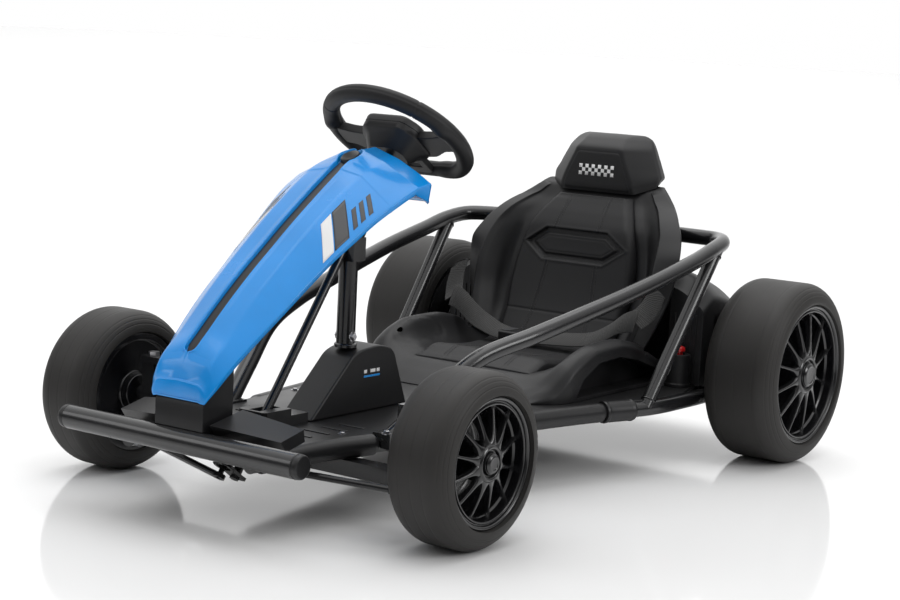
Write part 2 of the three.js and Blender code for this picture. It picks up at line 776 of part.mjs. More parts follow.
// ---- pedals ----
const pedalRoom = bumperBar(bumper.radius + 2, 300);
function pedal(side) {
  const inner = [[-590, 149], [-525, 162], [-519, 131], [-572, 122]];
  const outer = [[-557, 137], [-511, 148], [-508, 131], [-546, 122]];
  const ring = (x, points) => points.map(([y, z]) => [side * x, y, z]);
  return cut(loft([ring(51, inner), ring(148, outer)], [1, 2]), pedalRoom);
}
add("brake_pedal", pedal(1), trayBlack);
add("accelerator_pedal", pedal(-1), trayBlack);

// ---- seat ----
// Stations of the tub: [y, half width, rim at the side, hump, pan].
const tubStations = [
  [8, 160, 120, 122, 121], [40, 188, 130, 143, 138], [77, 199, 163, 176, 151],
  [110, 200, 180, 192, 152], [147, 200, 192, 201, 146], [214, 200, 195, 203, 140],
  [272, 200, 182, 194, 141], [330, 198, 160, 170, 145], [366, 192, 150, 155, 148],
];
const panHalf = 120;

function seatBase() {
  const ring = ([y, half, rimZ, hump, pan]) => mirrored([
    [0, y, pan], [panHalf, y, pan], [half - 46, y, (hump + pan) / 2], [half - 30, y, hump],
    [half - 12, y, hump - 1], [half, y, rimZ], [half, y, trayTop + gap],
    [0, y, trayTop + gap],
  ]);
  const body = loft(tubStations.map(ring), [0, 2]);
  const archway = [
    [84, 124], [104, 152], [150, 174], [212, 177], [268, 166], [330, 146], [352, 124],
  ];
  const recesses = sides.map(([, side]) => prism("x", archway, side * 182, side * 210));
  const backRest = box([-210, 210], [292, 380], [172, 260]);
  return cut(body, ...recesses, backRest);
}
add("seat_base", seatBase(), seatBlack);

function seatCushion() {
  const half = panHalf - 4;
  const rings = tubStations.slice(2, 7).map(([y, , , , pan]) => mirrored([
    [0, y, pan + gap], [half, y, pan + gap], [half, y, pan + 14], [96, y, pan + 20],
    [0, y, pan + 20],
  ]));
  return loft(rings, [0, 2]);
}
add("seat_cushion", seatCushion(), padBlack);

// Levels of the back: [z, pad front y, panel half width, crest x, crest y, outer x, outer y, back y].
const backLevels = [
  [173, 312, 118, 160, 304, 176, 326, 352], [215, 338, 122, 170, 314, 190, 342, 371],
  [255, 353, 126, 175, 326, 203, 350, 388], [288, 362, 124, 176, 334, 209, 356, 392],
  [322, 370, 118, 173, 350, 211, 362, 400], [355, 377, 108, 166, 372, 200, 384, 428],
  [380, 392, 96, 152, 392, 182, 404, 434], [400, 409, 84, 132, 418, 160, 428, 446],
  [416, 424, 74, 108, 440, 124, 452, 466],
];
const padDepth = 16;

function seatShell() {
  const ring = ([z, front, panel, crestX, crestY, outX, outY, back]) => mirrored([
    [0, front + padDepth, z], [panel, front + padDepth, z], [crestX - 14, crestY + 4, z],
    [crestX, crestY, z], [outX, outY, z],
    [outX - 6, Math.min(outY + 12, back - 1), z], [Math.min(outX - 20, 146), back, z], [0, back, z],
  ]);
  return loft(backLevels.map(ring), [0, 1]);
}
add("seat_shell", seatShell(), seatBlack);

function seatPad() {
  const rings = backLevels.slice(0, 8).map(([z, front, panel]) => mirrored([
    [0, front, z], [panel - 16, front, z], [panel - 3, front + 7, z],
    [panel - 3, front + padDepth - gap * 2, z], [0, front + padDepth - gap * 2, z],
  ]));
  return cut(loft(rings, [0, 1]), box([-200, 200], [200, 500], [160, 174]));
}
add("seat_pad", seatPad(), padBlack);

function headrest() {
  const ring = (z, front, faceX, sideX, sideY, back) => mirrored([
    [0, front, z], [faceX, front + 1, z], [sideX, sideY, z], [sideX - 6, back - 4, z], [0, back, z],
  ]);
  return loft([
    ring(416 + gap, 432, 74, 106, 458, 478), ring(434, 427, 70, 108, 464, 494),
    ring(491, 430, 46, 88, 474, 500), ring(510, 452, 40, 76, 484, 501),
    ring(518, 472, 44, 62, 488, 497),
  ], [0, 1]);
}
add("headrest", headrest(), seatBlack);

// ---- belts ----
const beltHalf = 19;
const beltThickness = 2.5;
const beltY = 262;
const buckle = { x: -34, half: 26, z: 176 };

// A strap that hangs from its anchor at the hump down to the buckle.
function belt(side) {
  const end = buckle.x + side * (buckle.half + gap);
  const route = [
    [side * 186, 213], [side * 166, 211], [side * 140, 196], [side * 110, 184], [end, buckle.z],
  ];
  const outline = [...route, ...route.slice().reverse().map(([x, z]) => [x, z + beltThickness])];
  return prism("y", outline, beltY - beltHalf, beltY + beltHalf);
}
add("belt_left", belt(1), webbing);
add("belt_right", belt(-1), webbing);
add(
  "belt_buckle",
  box([buckle.x - buckle.half, buckle.x + buckle.half], [beltY - 24, beltY + 24],
    [buckle.z - 6, buckle.z + 9]),
  trayBlack,
);

export default kart;
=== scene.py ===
import bpy, bmesh, json, math
from mathutils import Matrix, Vector

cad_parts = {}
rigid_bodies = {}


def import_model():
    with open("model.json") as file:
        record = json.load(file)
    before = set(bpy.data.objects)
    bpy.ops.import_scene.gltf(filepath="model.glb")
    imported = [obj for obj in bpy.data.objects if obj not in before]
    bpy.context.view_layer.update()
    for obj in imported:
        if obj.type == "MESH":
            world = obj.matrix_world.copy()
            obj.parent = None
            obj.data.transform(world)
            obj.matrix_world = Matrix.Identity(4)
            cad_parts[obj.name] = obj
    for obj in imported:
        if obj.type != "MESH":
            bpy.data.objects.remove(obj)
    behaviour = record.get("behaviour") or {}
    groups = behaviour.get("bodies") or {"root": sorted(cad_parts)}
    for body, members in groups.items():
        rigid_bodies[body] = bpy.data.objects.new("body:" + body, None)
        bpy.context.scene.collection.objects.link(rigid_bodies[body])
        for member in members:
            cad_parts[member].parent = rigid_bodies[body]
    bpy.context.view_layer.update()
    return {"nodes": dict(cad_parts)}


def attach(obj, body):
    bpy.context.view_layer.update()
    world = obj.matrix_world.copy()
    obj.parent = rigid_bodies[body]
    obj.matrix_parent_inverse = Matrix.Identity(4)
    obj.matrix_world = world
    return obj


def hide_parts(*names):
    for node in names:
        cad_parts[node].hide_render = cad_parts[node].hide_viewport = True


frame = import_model()
mm = 0.001
sides = [("left", 1), ("right", -1)]
onTray = 118.3      # the height at which pieces stand on the floor tray


# Small maths used by every piece. Lengths are in millimetres.
def clamp(value, low=0.0, high=1.0):
    return max(low, min(high, value))


def ease(value):
    value = clamp(value)
    return value * value * (3 - 2 * value)


def dent(distance, width):
    return math.exp(-((distance / width) ** 2))


def slopesOf(keys, column):
    steps = [(b - a) / (v - u) for a, b, u, v in zip(column, column[1:], keys, keys[1:])]
    inner = [2 * a * b / (a + b) if a * b > 0 else 0 for a, b in zip(steps, steps[1:])]
    return [steps[0]] + inner + [steps[-1]]


# A table of stations read as smooth curves of its first column.
def smoothTable(rows):
    keys = [row[0] for row in rows]
    columns = [list(column) for column in zip(*rows)]
    slopes = [slopesOf(keys, column) for column in columns]

    def at(key):
        key = clamp(key, keys[0], keys[-1])
        i = max(n for n in range(len(keys) - 1) if keys[n] <= key or n == 0)
        span = keys[i + 1] - keys[i]
        t = (key - keys[i]) / span
        row = []
        for column, slope in zip(columns, slopes):
            row.append((2 * t**3 - 3 * t**2 + 1) * column[i] + (t**3 - 2 * t**2 + t) * span * slope[i]
                + (3 * t**2 - 2 * t**3) * column[i + 1] + (t**3 - t**2) * span * slope[i + 1])
        return row
    return at


def spread(low, high, count):
    return [low + (high - low) * i / (count - 1) for i in range(count)]


# Corners (point, radius) of an open or closed line, each replaced by a short curve.
def roundCorners(corners, steps=4, closed=False):
    points = [Vector(p) for p, r in corners]
    count = len(points)
    out = []
    for i, (p, radius) in enumerate(corners):
        here = points[i]
        if not closed and i in (0, count - 1):
            out.append(here)
            continue
        before, after = points[i - 1], points[(i + 1) % count]
        start = here + (before - here) * min(0.48, radius / max((before - here).length, 0.01))
        end = here + (after - here) * min(0.48, radius / max((after - here).length, 0.01))
        for k in range(steps + 1):
            t = k / steps
            out.append((1 - t) ** 2 * start + 2 * t * (1 - t) * here + t * t * end)
    return out


# The same for a flat outline of (first, second, radius), as plain pairs.
def roundedOutline(corners, steps=4, closed=False):
    return [(p.x, p.y) for p in roundCorners([((a, b, 0), r) for a, b, r in corners], steps, closed)]


def mirrorRing(half):
    return half + [Vector((-p.x, p.y, p.z)) for p in reversed(half) if p.x > 0.01]


# A smooth curve through points, with the same spacing rule as the CAD tubes.
def curveThrough(points, count, closed=False):
    points = [Vector(p) for p in points]
    total = len(points)
    spans = total if closed else total - 1
    out = []
    for n in range(count):
        place = spans * n / (count if closed else count - 1)
        i = min(int(place), spans - 1)
        t = place - i
        if closed:
            p0, p1, p2, p3 = (points[(i + k) % total] for k in (-1, 0, 1, 2))
        else:
            p1, p2 = points[i], points[i + 1]
            p0 = points[i - 1] if i > 0 else p1 * 2 - p2
            p3 = points[i + 2] if i + 2 < total else p2 * 2 - p1
        d0, d1, d2 = (max((b - a).length ** 0.5, 1e-4) for a, b in ((p0, p1), (p1, p2), (p2, p3)))
        m1 = ((p1 - p0) / d0 - (p2 - p0) / (d0 + d1) + (p2 - p1) / d1) * d1
        m2 = ((p2 - p1) / d1 - (p3 - p1) / (d1 + d2) + (p3 - p2) / d2) * d1
        out.append(p1 + m1 * t + (3 * (p2 - p1) - 2 * m1 - m2) * t**2 + (2 * (p1 - p2) + m1 + m2)
            * t**3)
    return out


# Mesh makers: each gives vertices and faces, and makeObject turns them into a piece.
def makeObject(name, data, look, body="chassis", stands=(), smoothAngle=35, outward=True):
    vertices, faces = data
    mesh = bpy.data.meshes.new(name)
    mesh.from_pydata([Vector(v) * mm for v in vertices], [], faces)
    work = bmesh.new()
    work.from_mesh(mesh)
    bmesh.ops.remove_doubles(work, verts=work.verts, dist=0.00002)
    if outward:
        bmesh.ops.recalc_face_normals(work, faces=work.faces)
    work.to_mesh(mesh)
    work.free()
    piece = bpy.data.objects.new(name, mesh)
    bpy.context.collection.objects.link(piece)
    mesh.materials.append(look)
    mesh.shade_smooth()
    mesh.set_sharp_from_angle(angle=math.radians(smoothAngle))
    piece["rides"] = body
    piece["stands"] = json.dumps(list(stands))
    return piece


# A piece shown in place of one CAD node, named after it.
def standIn(node, part, data, look, smoothAngle=35, body="chassis"):
    return makeObject(f"{node}_{part}", data, look, body, [node], smoothAngle)


# Rings of equal length skinned one to the next; ends says whether to fill the first and last.
def skin(rings, closedRing=True, ends=(True, True), loop=False):
    count = len(rings[0])
    vertices = [v for ring in rings for v in ring]
    faces = []
    last = len(rings) if loop else len(rings) - 1
    for r in range(last):
        for i in range(count if closedRing else count - 1):
            here, there, nextAlong = r * count, (r + 1) % len(rings) * count, (i + 1) % count
            faces.append((here + i, here + nextAlong, there + nextAlong, there + i))
    if ends[0]:
        faces.append(tuple(reversed(range(count))))
    if ends[1]:
        faces.append(tuple(range((len(rings) - 1) * count, len(rings) * count)))
    return vertices, faces


def openSkin(rows):
    return skin(rows, closedRing=False, ends=(False, False))


def joinParts(*parts):
    vertices, faces = [], []
    for moreVertices, moreFaces in parts:
        start = len(vertices)
        vertices += list(moreVertices)
        faces += [tuple(i + start for i in face) for face in moreFaces]
    return vertices, faces


# A round bar along a path; radius may change along it and round it.
def sweep(path, radius, ringSides=24, closed=False):
    size = radius if callable(radius) else (lambda along, around: radius)
    count = len(path)
    normal = None
    rings, travelled, length = [], 0, sum((b - a).length for a, b in zip(path, path[1:]))
    for i, point in enumerate(path):
        after = path[(i + 1) % count] if closed else path[min(i + 1, count - 1)]
        before = path[i - 1] if closed or i else path[0]
        tangent = (after - before).normalized()
        if normal is None:
            normal = tangent.cross(Vector((0, 0, 1)) if abs(tangent.z) < 0.9 else Vector((1, 0, 0)))
        normal = (normal - tangent * normal.dot(tangent)).normalized()
        side = tangent.cross(normal)
        ring = []
        for k in range(ringSides):
            angle = 2 * math.pi * k / ringSides
            reach = size(travelled / length, angle)
            ring.append(point + (normal * math.cos(angle) + side * math.sin(angle)) * reach)
        rings.append(ring)
        travelled += (after - point).length
    return skin(rings, ends=(not closed, not closed), loop=closed)


# A closed outline of (distance along the axis, radius) turned about a line from origin.
def turned(profile, origin, axis, ringSides=64, closed=True):
    axis = Vector(axis).normalized()
    first = axis.cross(Vector((0, 0, 1)) if abs(axis.z) < 0.9 else Vector((0, 1, 0))).normalized()
    second = axis.cross(first)
    rings = []
    for k in range(ringSides):
        angle = 2 * math.pi * k / ringSides
        out = first * math.cos(angle) + second * math.sin(angle)
        rings.append([Vector(origin) + axis * along + out * radius for along, radius in profile])
    return skin(rings, closedRing=closed, ends=(False, False), loop=True)


# A flat outline pushed out along x or z.
def outlineBlock(axis, outline, low, high):
    return skin([[Vector((d, a, b) if axis == "x" else (a, b, d)) for a, b in outline]
        for d in (low, high)])


def boxBlock(xs, ys, zs):
    (x0, x1), (y0, y1), (z0, z1) = (sorted(pair) for pair in (xs, ys, zs))
    return outlineBlock("z", [(x0, y0), (x1, y0), (x1, y1), (x0, y1)], z0, z1)


def ovalPoints(cx, cy, rx, ry, count=32):
    return [(cx + rx * math.cos(2 * math.pi * k / count), cy + ry * math.sin(2 * math.pi * k / count))
        for k in range(count)]


def bevelEdges(piece, width, segments=3, angle=30):
    modifier = piece.modifiers.new("softEdges", "BEVEL")
    modifier.width = width * mm
    modifier.segments = segments
    modifier.limit_method = "ANGLE"
    modifier.angle_limit = math.radians(angle)
    modifier.harden_normals = True
    return piece


def thicken(piece, thickness):
    modifier = piece.modifiers.new("wall", "SOLIDIFY")
    modifier.thickness = thickness * mm
    modifier.offset = -1
    return piece


# Cuts blocks out of a piece for good and drops the blocks.
def carve(piece, *blocks, smoothAngle=35):
    for block in blocks:
        cutter = makeObject("cutter", block, piece.data.materials[0])
        modifier = piece.modifiers.new("carve", "BOOLEAN")
        modifier.operation = "DIFFERENCE"
        modifier.object = cutter
        modifier.solver = "EXACT"
        shown = piece.evaluated_get(bpy.context.evaluated_depsgraph_get())
        settled = bpy.data.meshes.new_from_object(shown)
        piece.modifiers.clear()
        piece.data = settled
        bpy.data.objects.remove(cutter)
    piece.data.shade_smooth()
    piece.data.set_sharp_from_angle(angle=math.radians(smoothAngle))
    return piece


def mirroredBlocks(*blocks):
    return [b for vertices, faces in blocks
        for b in ((vertices, faces), ([Vector((-v[0], v[1], v[2])) for v in vertices], faces))]


# Shader node groups shared by the materials
def newGroup(name, inputs, outputs):
    group = bpy.data.node_groups.new(name, "ShaderNodeTree")
    for label, value in inputs:
        group.interface.new_socket(label, in_out="INPUT",
            socket_type="NodeSocketFloat").default_value = value
    for label in outputs:
        group.interface.new_socket(label, in_out="OUTPUT", socket_type="NodeSocketFloat")
    return group, group.nodes.new("NodeGroupInput").outputs, group.nodes.new("NodeGroupOutput").inputs


def mathNode(tree, operation, a, b=None):
    node = tree.nodes.new("ShaderNodeMath")
    node.operation = operation
    for socket, value in zip(node.inputs, (a, b)):
        if value is None:
            continue
        if isinstance(value, (int, float)):
            socket.default_value = value
        else:
            tree.links.new(value, socket)
    return node.outputs[0]


def noiseNode(tree, scale, detail):
    place = tree.nodes.new("ShaderNodeTexCoord").outputs["Object"]
    noise = tree.nodes.new("ShaderNodeTexNoise")
    noise.inputs["Detail"].default_value = detail
    tree.links.new(place, noise.inputs["Vector"])
    if isinstance(scale, (int, float)):
        noise.inputs["Scale"].default_value = scale
    else:
        tree.links.new(scale, noise.inputs["Scale"])
    return noise.outputs["Fac"]


def buildMottle():
    group, given, out = newGroup("mottle", [("Scale", 18), ("Roughness", 0.4), ("Spread", 0.1)],
        ["Roughness", "Mask"])
    noise = noiseNode(group, given["Scale"], 5)
    centred = mathNode(group, "SUBTRACT", noise, 0.5)
    shift = mathNode(group, "MULTIPLY", centred, given["Spread"])
    group.links.new(mathNode(group, "ADD", shift, given["Roughness"]), out["Roughness"])
    group.links.new(noise, out["Mask"])
    return group


# Fine moulded or leather grain: cells for leather, plain noise for plastic.
def buildGrain():
    group, given, out = newGroup("grain", [("Scale", 900), ("Cells", 0.5)], ["Height"])
    place = group.nodes.new("ShaderNodeTexCoord").outputs["Object"]
    cells = group.nodes.new("ShaderNodeTexVoronoi")
    group.links.new(place, cells.inputs["Vector"])
    group.links.new(given["Scale"], cells.inputs["Scale"])
    fine = noiseNode(group, given["Scale"], 2)
    cellPart = mathNode(group, "MULTIPLY", cells.outputs["Distance"], given["Cells"])
    finePart = mathNode(group, "MULTIPLY", fine, mathNode(group, "SUBTRACT", 1.0, given["Cells"]))
    group.links.new(mathNode(group, "ADD", cellPart, finePart), out["Height"])
    return group


# Light rubbing on raised edges, from the surface's own shape.
def buildWear():
    group, given, out = newGroup("edgeRub", [("Start", 0.53), ("Strength", 0.5)], ["Mask"])
    shape = group.nodes.new("ShaderNodeNewGeometry").outputs["Pointiness"]
    raised = mathNode(group, "MULTIPLY", mathNode(group, "SUBTRACT", shape, given["Start"]), 12)
    patchy = mathNode(group, "MULTIPLY", raised, noiseNode(group, 60, 4))
    node = group.nodes.new("ShaderNodeClamp")
    group.links.new(mathNode(group, "MULTIPLY", patchy, given["Strength"]), node.inputs[0])
    group.links.new(node.outputs[0], out["Mask"])
    return group


# Settled dust, stronger where the surface faces up.
def buildDust():
    group, given, out = newGroup("settledDust", [("Amount", 0.1)], ["Mask"])
    normal = group.nodes.new("ShaderNodeNewGeometry").outputs["Normal"]
    parts = group.nodes.new("ShaderNodeSeparateXYZ")
    group.links.new(normal, parts.inputs[0])
    upward = mathNode(group, "MAXIMUM", parts.outputs["Z"], 0.15)
    patchy = mathNode(group, "POWER", noiseNode(group, 9, 6), 2.0)
    spreadOut = mathNode(group, "MULTIPLY", mathNode(group, "MULTIPLY", upward, patchy),
        given["Amount"])
    group.links.new(spreadOut, out["Mask"])
    return group


mottle, grain, edgeRub, settledDust = buildMottle(), buildGrain(), buildWear(), buildDust()


def placeGroup(tree, group, **values):
    node = tree.nodes.new("ShaderNodeGroup")
    node.node_tree = group
    for label, value in values.items():
        node.inputs[label].default_value = value
    return node.outputs


dustColour = (0.45, 0.43, 0.40)


# One finish: colour, gloss, grain, dust and rubbed edges over a Principled shader.
def finishOf(name, colour, roughness, rub=0.3, rubColour=(0.1, 0.1, 0.1), dust=0.05, grainScale=900,
        cells=0.0, grainHeight=0.02, spreadOf=0.12, metallic=0.0, coat=0.0, sheen=0.0, specular=0.5,
        ribs=None):
    material = bpy.data.materials.new(name)
    material.use_nodes = True
    tree = material.node_tree
    shader = tree.nodes["Principled BSDF"]
    shader.inputs["Metallic"].default_value = metallic
    shader.inputs["Coat Weight"].default_value = coat
    shader.inputs["Coat Roughness"].default_value = 0.06
    shader.inputs["Sheen Weight"].default_value = sheen
    shader.inputs["Specular IOR Level"].default_value = specular

    tone = placeGroup(tree, mottle, Scale=14, Roughness=roughness, Spread=spreadOf)
    tree.links.new(tone["Roughness"], shader.inputs["Roughness"])

    def blendColour(mask, first, second):
        mix = tree.nodes.new("ShaderNodeMix")
        mix.data_type = "RGBA"
        tree.links.new(mask, mix.inputs["Factor"])
        for socket, value in ((mix.inputs[6], first), (mix.inputs[7], second)):
            if isinstance(value, tuple):
                socket.default_value = (*value, 1)
            else:
                tree.links.new(value, socket)
        return mix.outputs[2]
    colour = blendColour(tone["Mask"], tuple(c * 0.86 for c in colour),
        tuple(min(1.0, c * 1.14) for c in colour))
    colour = blendColour(placeGroup(tree, edgeRub, Strength=rub)["Mask"], colour, rubColour)
    colour = blendColour(placeGroup(tree, settledDust, Amount=dust)["Mask"], colour, dustColour)
    tree.links.new(colour, shader.inputs["Base Color"])

    height = placeGroup(tree, grain, Scale=grainScale, Cells=cells)["Height"]
    bump = tree.nodes.new("ShaderNodeBump")
    bump.inputs["Distance"].default_value = grainHeight * mm
    bump.inputs["Strength"].default_value = 0.8
    tree.links.new(height, bump.inputs["Height"])
    normal = bump.outputs["Normal"]
    if ribs:      # woven ribs: a wave along one direction
        place = tree.nodes.new("ShaderNodeTexCoord").outputs["UV"]
        wave = tree.nodes.new("ShaderNodeTexWave")
        wave.bands_direction = ribs["direction"]
        wave.inputs["Scale"].default_value = ribs["scale"]
        wave.inputs["Distortion"].default_value = 0.3
        tree.links.new(place, wave.inputs["Vector"])
        weave = tree.nodes.new("ShaderNodeBump")
        weave.inputs["Distance"].default_value = ribs["height"] * mm
        tree.links.new(wave.outputs["Fac"], weave.inputs["Height"])
        tree.links.new(normal, weave.inputs["Normal"])
        normal = weave.outputs["Normal"]
    tree.links.new(normal, shader.inputs["Normal"])
    return material


bluePlastic = finishOf("bluePlastic", (0.0, 0.262, 0.74), 0.26, rub=0.25, rubColour=(0.02, 0.42, 0.95),
    dust=0.01, coat=0.25, specular=0.4, grainScale=260, grainHeight=0.015, spreadOf=0.08)
tubePaint = finishOf("tubePaint", (0.007, 0.007, 0.008), 0.26, rub=0.15, dust=0.01, coat=0.3,
    grainScale=300, grainHeight=0.006, spreadOf=0.05)
mouldedBlack = finishOf("mouldedBlack", (0.009, 0.009, 0.010), 0.44, rub=0.25, dust=0.03, specular=0.36,
    grainScale=1900, cells=0.6, grainHeight=0.05)
trayPlastic = finishOf("trayPlastic", (0.009, 0.009, 0.010), 0.36, rub=0.25, dust=0.03, specular=0.4,
    grainScale=1600, cells=0.4, grainHeight=0.04)
leatherette = finishOf("leatherette", (0.0085, 0.0085, 0.0095), 0.52, rub=0.15, dust=0.02,
    specular=0.34, grainScale=1300, cells=1.0, grainHeight=0.09)
threadBlack = finishOf("threadBlack", (0.035, 0.035, 0.036), 0.7, rub=0.0, dust=0.0, grainScale=3000,
    grainHeight=0.05)
webbingBlack = finishOf("webbingBlack", (0.012, 0.012, 0.012), 0.75, rub=0.0, dust=0.08,
    grainScale=2600, grainHeight=0.06, sheen=0.15, ribs={"direction": "X", "scale": 1.0, "height": 0.4})
tyreRubber = finishOf("tyreRubber", (0.0165, 0.0152, 0.0142), 0.56, rub=0.2,
    rubColour=(0.05, 0.045, 0.04), dust=0.04, specular=0.42, grainScale=1400, grainHeight=0.05,
    spreadOf=0.2)
rimGloss = finishOf("rimGloss", (0.004, 0.004, 0.005), 0.22, rub=0.3, rubColour=(0.07, 0.07, 0.07),
    dust=0.02, coat=0.4, grainScale=900, grainHeight=0.01)
zincSteel = finishOf("zincSteel", (0.42, 0.42, 0.44), 0.30, rub=0.4, rubColour=(0.7, 0.7, 0.7),
    dust=0.04, metallic=1.0, grainScale=1200, grainHeight=0.02)
redPlastic = finishOf("redPlastic", (0.62, 0.012, 0.014), 0.28, rub=0.2, rubColour=(0.8, 0.2, 0.2),
    dust=0.02, coat=0.4, grainHeight=0.01)
caseGrey = finishOf("caseGrey", (0.030, 0.031, 0.034), 0.5, rub=0.3, dust=0.06, grainScale=1400,
    grainHeight=0.04)
markWhite = finishOf("markWhite", (0.80, 0.80, 0.80), 0.5, rub=0.0, dust=0.02, grainScale=1500,
    grainHeight=0.01)
markGraphite = finishOf("markGraphite", (0.012, 0.014, 0.018), 0.3, rub=0.0, dust=0.02, coat=0.3,
    grainHeight=0.01)
print("materials ready")


# Wheels: tyre, cast rim and hub cap
frontWheel = {"y": -390, "radius": 121.5, "width": 101, "outer": 376.4, "lip": 90, "hub": 26, "cap": 14,
    "recess": 5}
rearWheel = {"y": 461, "radius": 150, "width": 129, "outer": 417.5, "lip": 115.5, "hub": 32,
    "cap": 19.5, "recess": 4.5}
tyreShape = {"shoulder": 30, "lineAngles": (24, 38, 52), "lineDepth": 0.5, "seamDepth": 0.35}
rimShape = {"spokes": 12, "spokeTip": 2.3, "spokeFlare": 6.5, "spokeDrop": 13, "spokeDepth": 9}


def buildTyre(wheel, hand, side, end):
    radius, width, lip, recess = (wheel[k] for k in ("radius", "width", "lip", "recess"))
    shoulder = tyreShape["shoulder"]
    half = [(recess + 5, lip - 5), (recess + 3.5, lip + 0.3), (recess - 1, lip + 0.8), (1.2, lip + 1.5)]
    for step in range(61):
        angle = step * 1.5
        drop = sum(dent(angle - place, 1.2)
            for place in tyreShape["lineAngles"]) * tyreShape["lineDepth"]
        reach = shoulder - drop
        half.append((shoulder - reach * math.cos(math.radians(angle)),
            radius - shoulder + reach * math.sin(math.radians(angle))))
    for step in range(1, 30):
        place = step / 30
        across = shoulder + (width / 2 - shoulder) * place
        half.append((across, radius - tyreShape["lineDepth"] * dent(across - width / 2, 0.9)
            - tyreShape["seamDepth"] * dent(across - shoulder - 2, 0.8)))
    profile = half + [(width - a, r) for a, r in reversed(half)]
    data = turned(profile, (side * wheel["outer"], wheel["y"], radius), (-side, 0, 0), 128)
    return standIn(f"tyre_{end}_{hand}", "rubber", data, tyreRubber, 50, body=f"{end}_wheel_{hand}")


def buildSpoke(wheel, side, angle):
    lip, hub, recess = wheel["lip"], wheel["hub"], wheel["recess"]
    barrel = lip - 14
    out = Vector((0, -math.sin(angle), math.cos(angle)))
    across = Vector((0, math.cos(angle), math.sin(angle)))
    centre = Vector((side * wheel["outer"], wheel["y"], wheel["radius"]))
    rings = []
    for r in spread(hub - 5, barrel + 2, 22):
        place = (r - hub) / (barrel - hub)
        depth = recess + 2.5 + rimShape["spokeDrop"] * clamp(place) ** 1.15
        half = rimShape["spokeTip"] + rimShape["spokeFlare"] * math.exp(-max(r - hub, 0) / 6.5)
        half += 3.0 * math.exp(-(barrel - r) / 3.5)
        section = [(-half, depth + rimShape["spokeDepth"]), (-half, depth + 2.2),
            (-half * 0.72, depth + 0.5), (-half * 0.4, depth), (half * 0.4, depth),
            (half * 0.72, depth + 0.5), (half, depth + 2.2), (half, depth + rimShape["spokeDepth"])]
        rings.append([centre + out * r + across * a - Vector((side * d, 0, 0)) for a, d in section])
    return skin(rings)


def buildRim(wheel, hand, side, end):
    lip, hub, cap, recess, width = (wheel[k] for k in ("lip", "hub", "cap", "recess", "width"))
    disc = width - 24
    corners = [(recess + 0.6, 8.6, 0), (recess + 0.6, cap + 0.6, 0.4), (recess + 6, cap + 1.8, 1),
        (recess + 6, cap + 4.5, 1), (recess + 0.8, cap + 6, 0.8), (recess, hub - 3.5, 1),
        (recess + 2.4, hub, 1.5), (disc, hub + 2, 5), (disc - 2, lip - 28, 8), (disc - 24, lip - 21, 3),
        (recess + 44, lip - 19.5, 2), (recess + 40, lip - 17, 1), (recess + 19, lip - 16, 1),
        (recess + 16.5, lip - 13.2, 1), (recess + 6, lip - 12.4, 1.5), (recess + 2.2, lip - 11.6, 1),
        (recess + 1.8, lip - 9.4, 1), (recess + 4.6, lip - 8.4, 0.8), (recess + 4.6, lip - 6.6, 0.8),
        (recess + 0.8, lip - 5.4, 1), (recess - 0.6, lip - 2.8, 1.6), (recess + 0.4, lip - 0.3, 0.8),
        (recess + 4, lip - 0.3, 0.5), (recess + 4, lip - 6, 1), (width - recess - 4, lip - 6, 1),
        (width - recess - 4, lip, 0.8), (width - recess, lip, 0.8), (width - recess, lip - 11, 1),
        (disc + 8, lip - 12, 2), (disc + 8, hub + 3, 3), (width - 3, hub, 1.5), (width - 3, 8.6, 0.5)]
    profile = roundedOutline(corners, 3, True)
    parts = [turned(profile, (side * wheel["outer"], wheel["y"], wheel["radius"]), (-side, 0, 0), 128)]
    for n in range(rimShape["spokes"]):
        parts.append(buildSpoke(wheel, side, 2 * math.pi * (n + 0.5) / rimShape["spokes"]))
    return standIn(f"rim_{end}_{hand}", "cast", joinParts(*parts), rimGloss, 40,
        body=f"{end}_wheel_{hand}")


def buildHubCap(wheel, hand, side, end):
    cap, recess = wheel["cap"], wheel["recess"]
    corners = [(recess + 0.5, 0, 0), (recess + 0.5, cap, 0.3), (recess - 1.5, cap, 0.5),
        (recess - 3.9, cap - 3.2, 0.6), (recess - 4.2, cap - 5.5, 0.6), (recess - 3.5, cap - 6.4, 0.4),
        (recess - 3.5, 0, 0)]
    profile = roundedOutline(corners)
    data = turned(profile, (side * wheel["outer"], wheel["y"], wheel["radius"]), (-side, 0, 0), 64,
        closed=False)
    return standIn(f"hub_cap_{end}_{hand}", "disc", data, rimGloss, 35, body=f"{end}_wheel_{hand}")


for hand, side in sides:
    for end, wheel in (("front", frontWheel), ("rear", rearWheel)):
        buildTyre(wheel, hand, side, end)
        buildRim(wheel, hand, side, end)
        buildHubCap(wheel, hand, side, end)
print("wheels ready")


# Frame tubes
tubes = {"railRadius": 12.5, "railZ": 104, "hoopRadius": 13, "braceRadius": 11.5, "footX": (137, 168),
    "footY": (-348, -306), "footZ": (100, 121)}
railPoints = [(112, -577), (123, -423), (139, -355), (199, -14), (230, 108), (262, 209), (268, 300),
    (268, 396)]
hoopSide = [(150, -340, 104), (176, -262, 163), (199, -191, 215), (228, -91, 244), (245, 9, 267),
    (260, 109, 290), (270, 209, 313), (273, 309, 335), (272, 365, 349), (262, 412, 357),
    (236, 440, 358), (190, 450, 358)]
braceEnds = ((260.3, 195, 104), (272, 378, 351))
railLine = curveThrough([(x, y, tubes["railZ"]) for x, y in railPoints], 400)


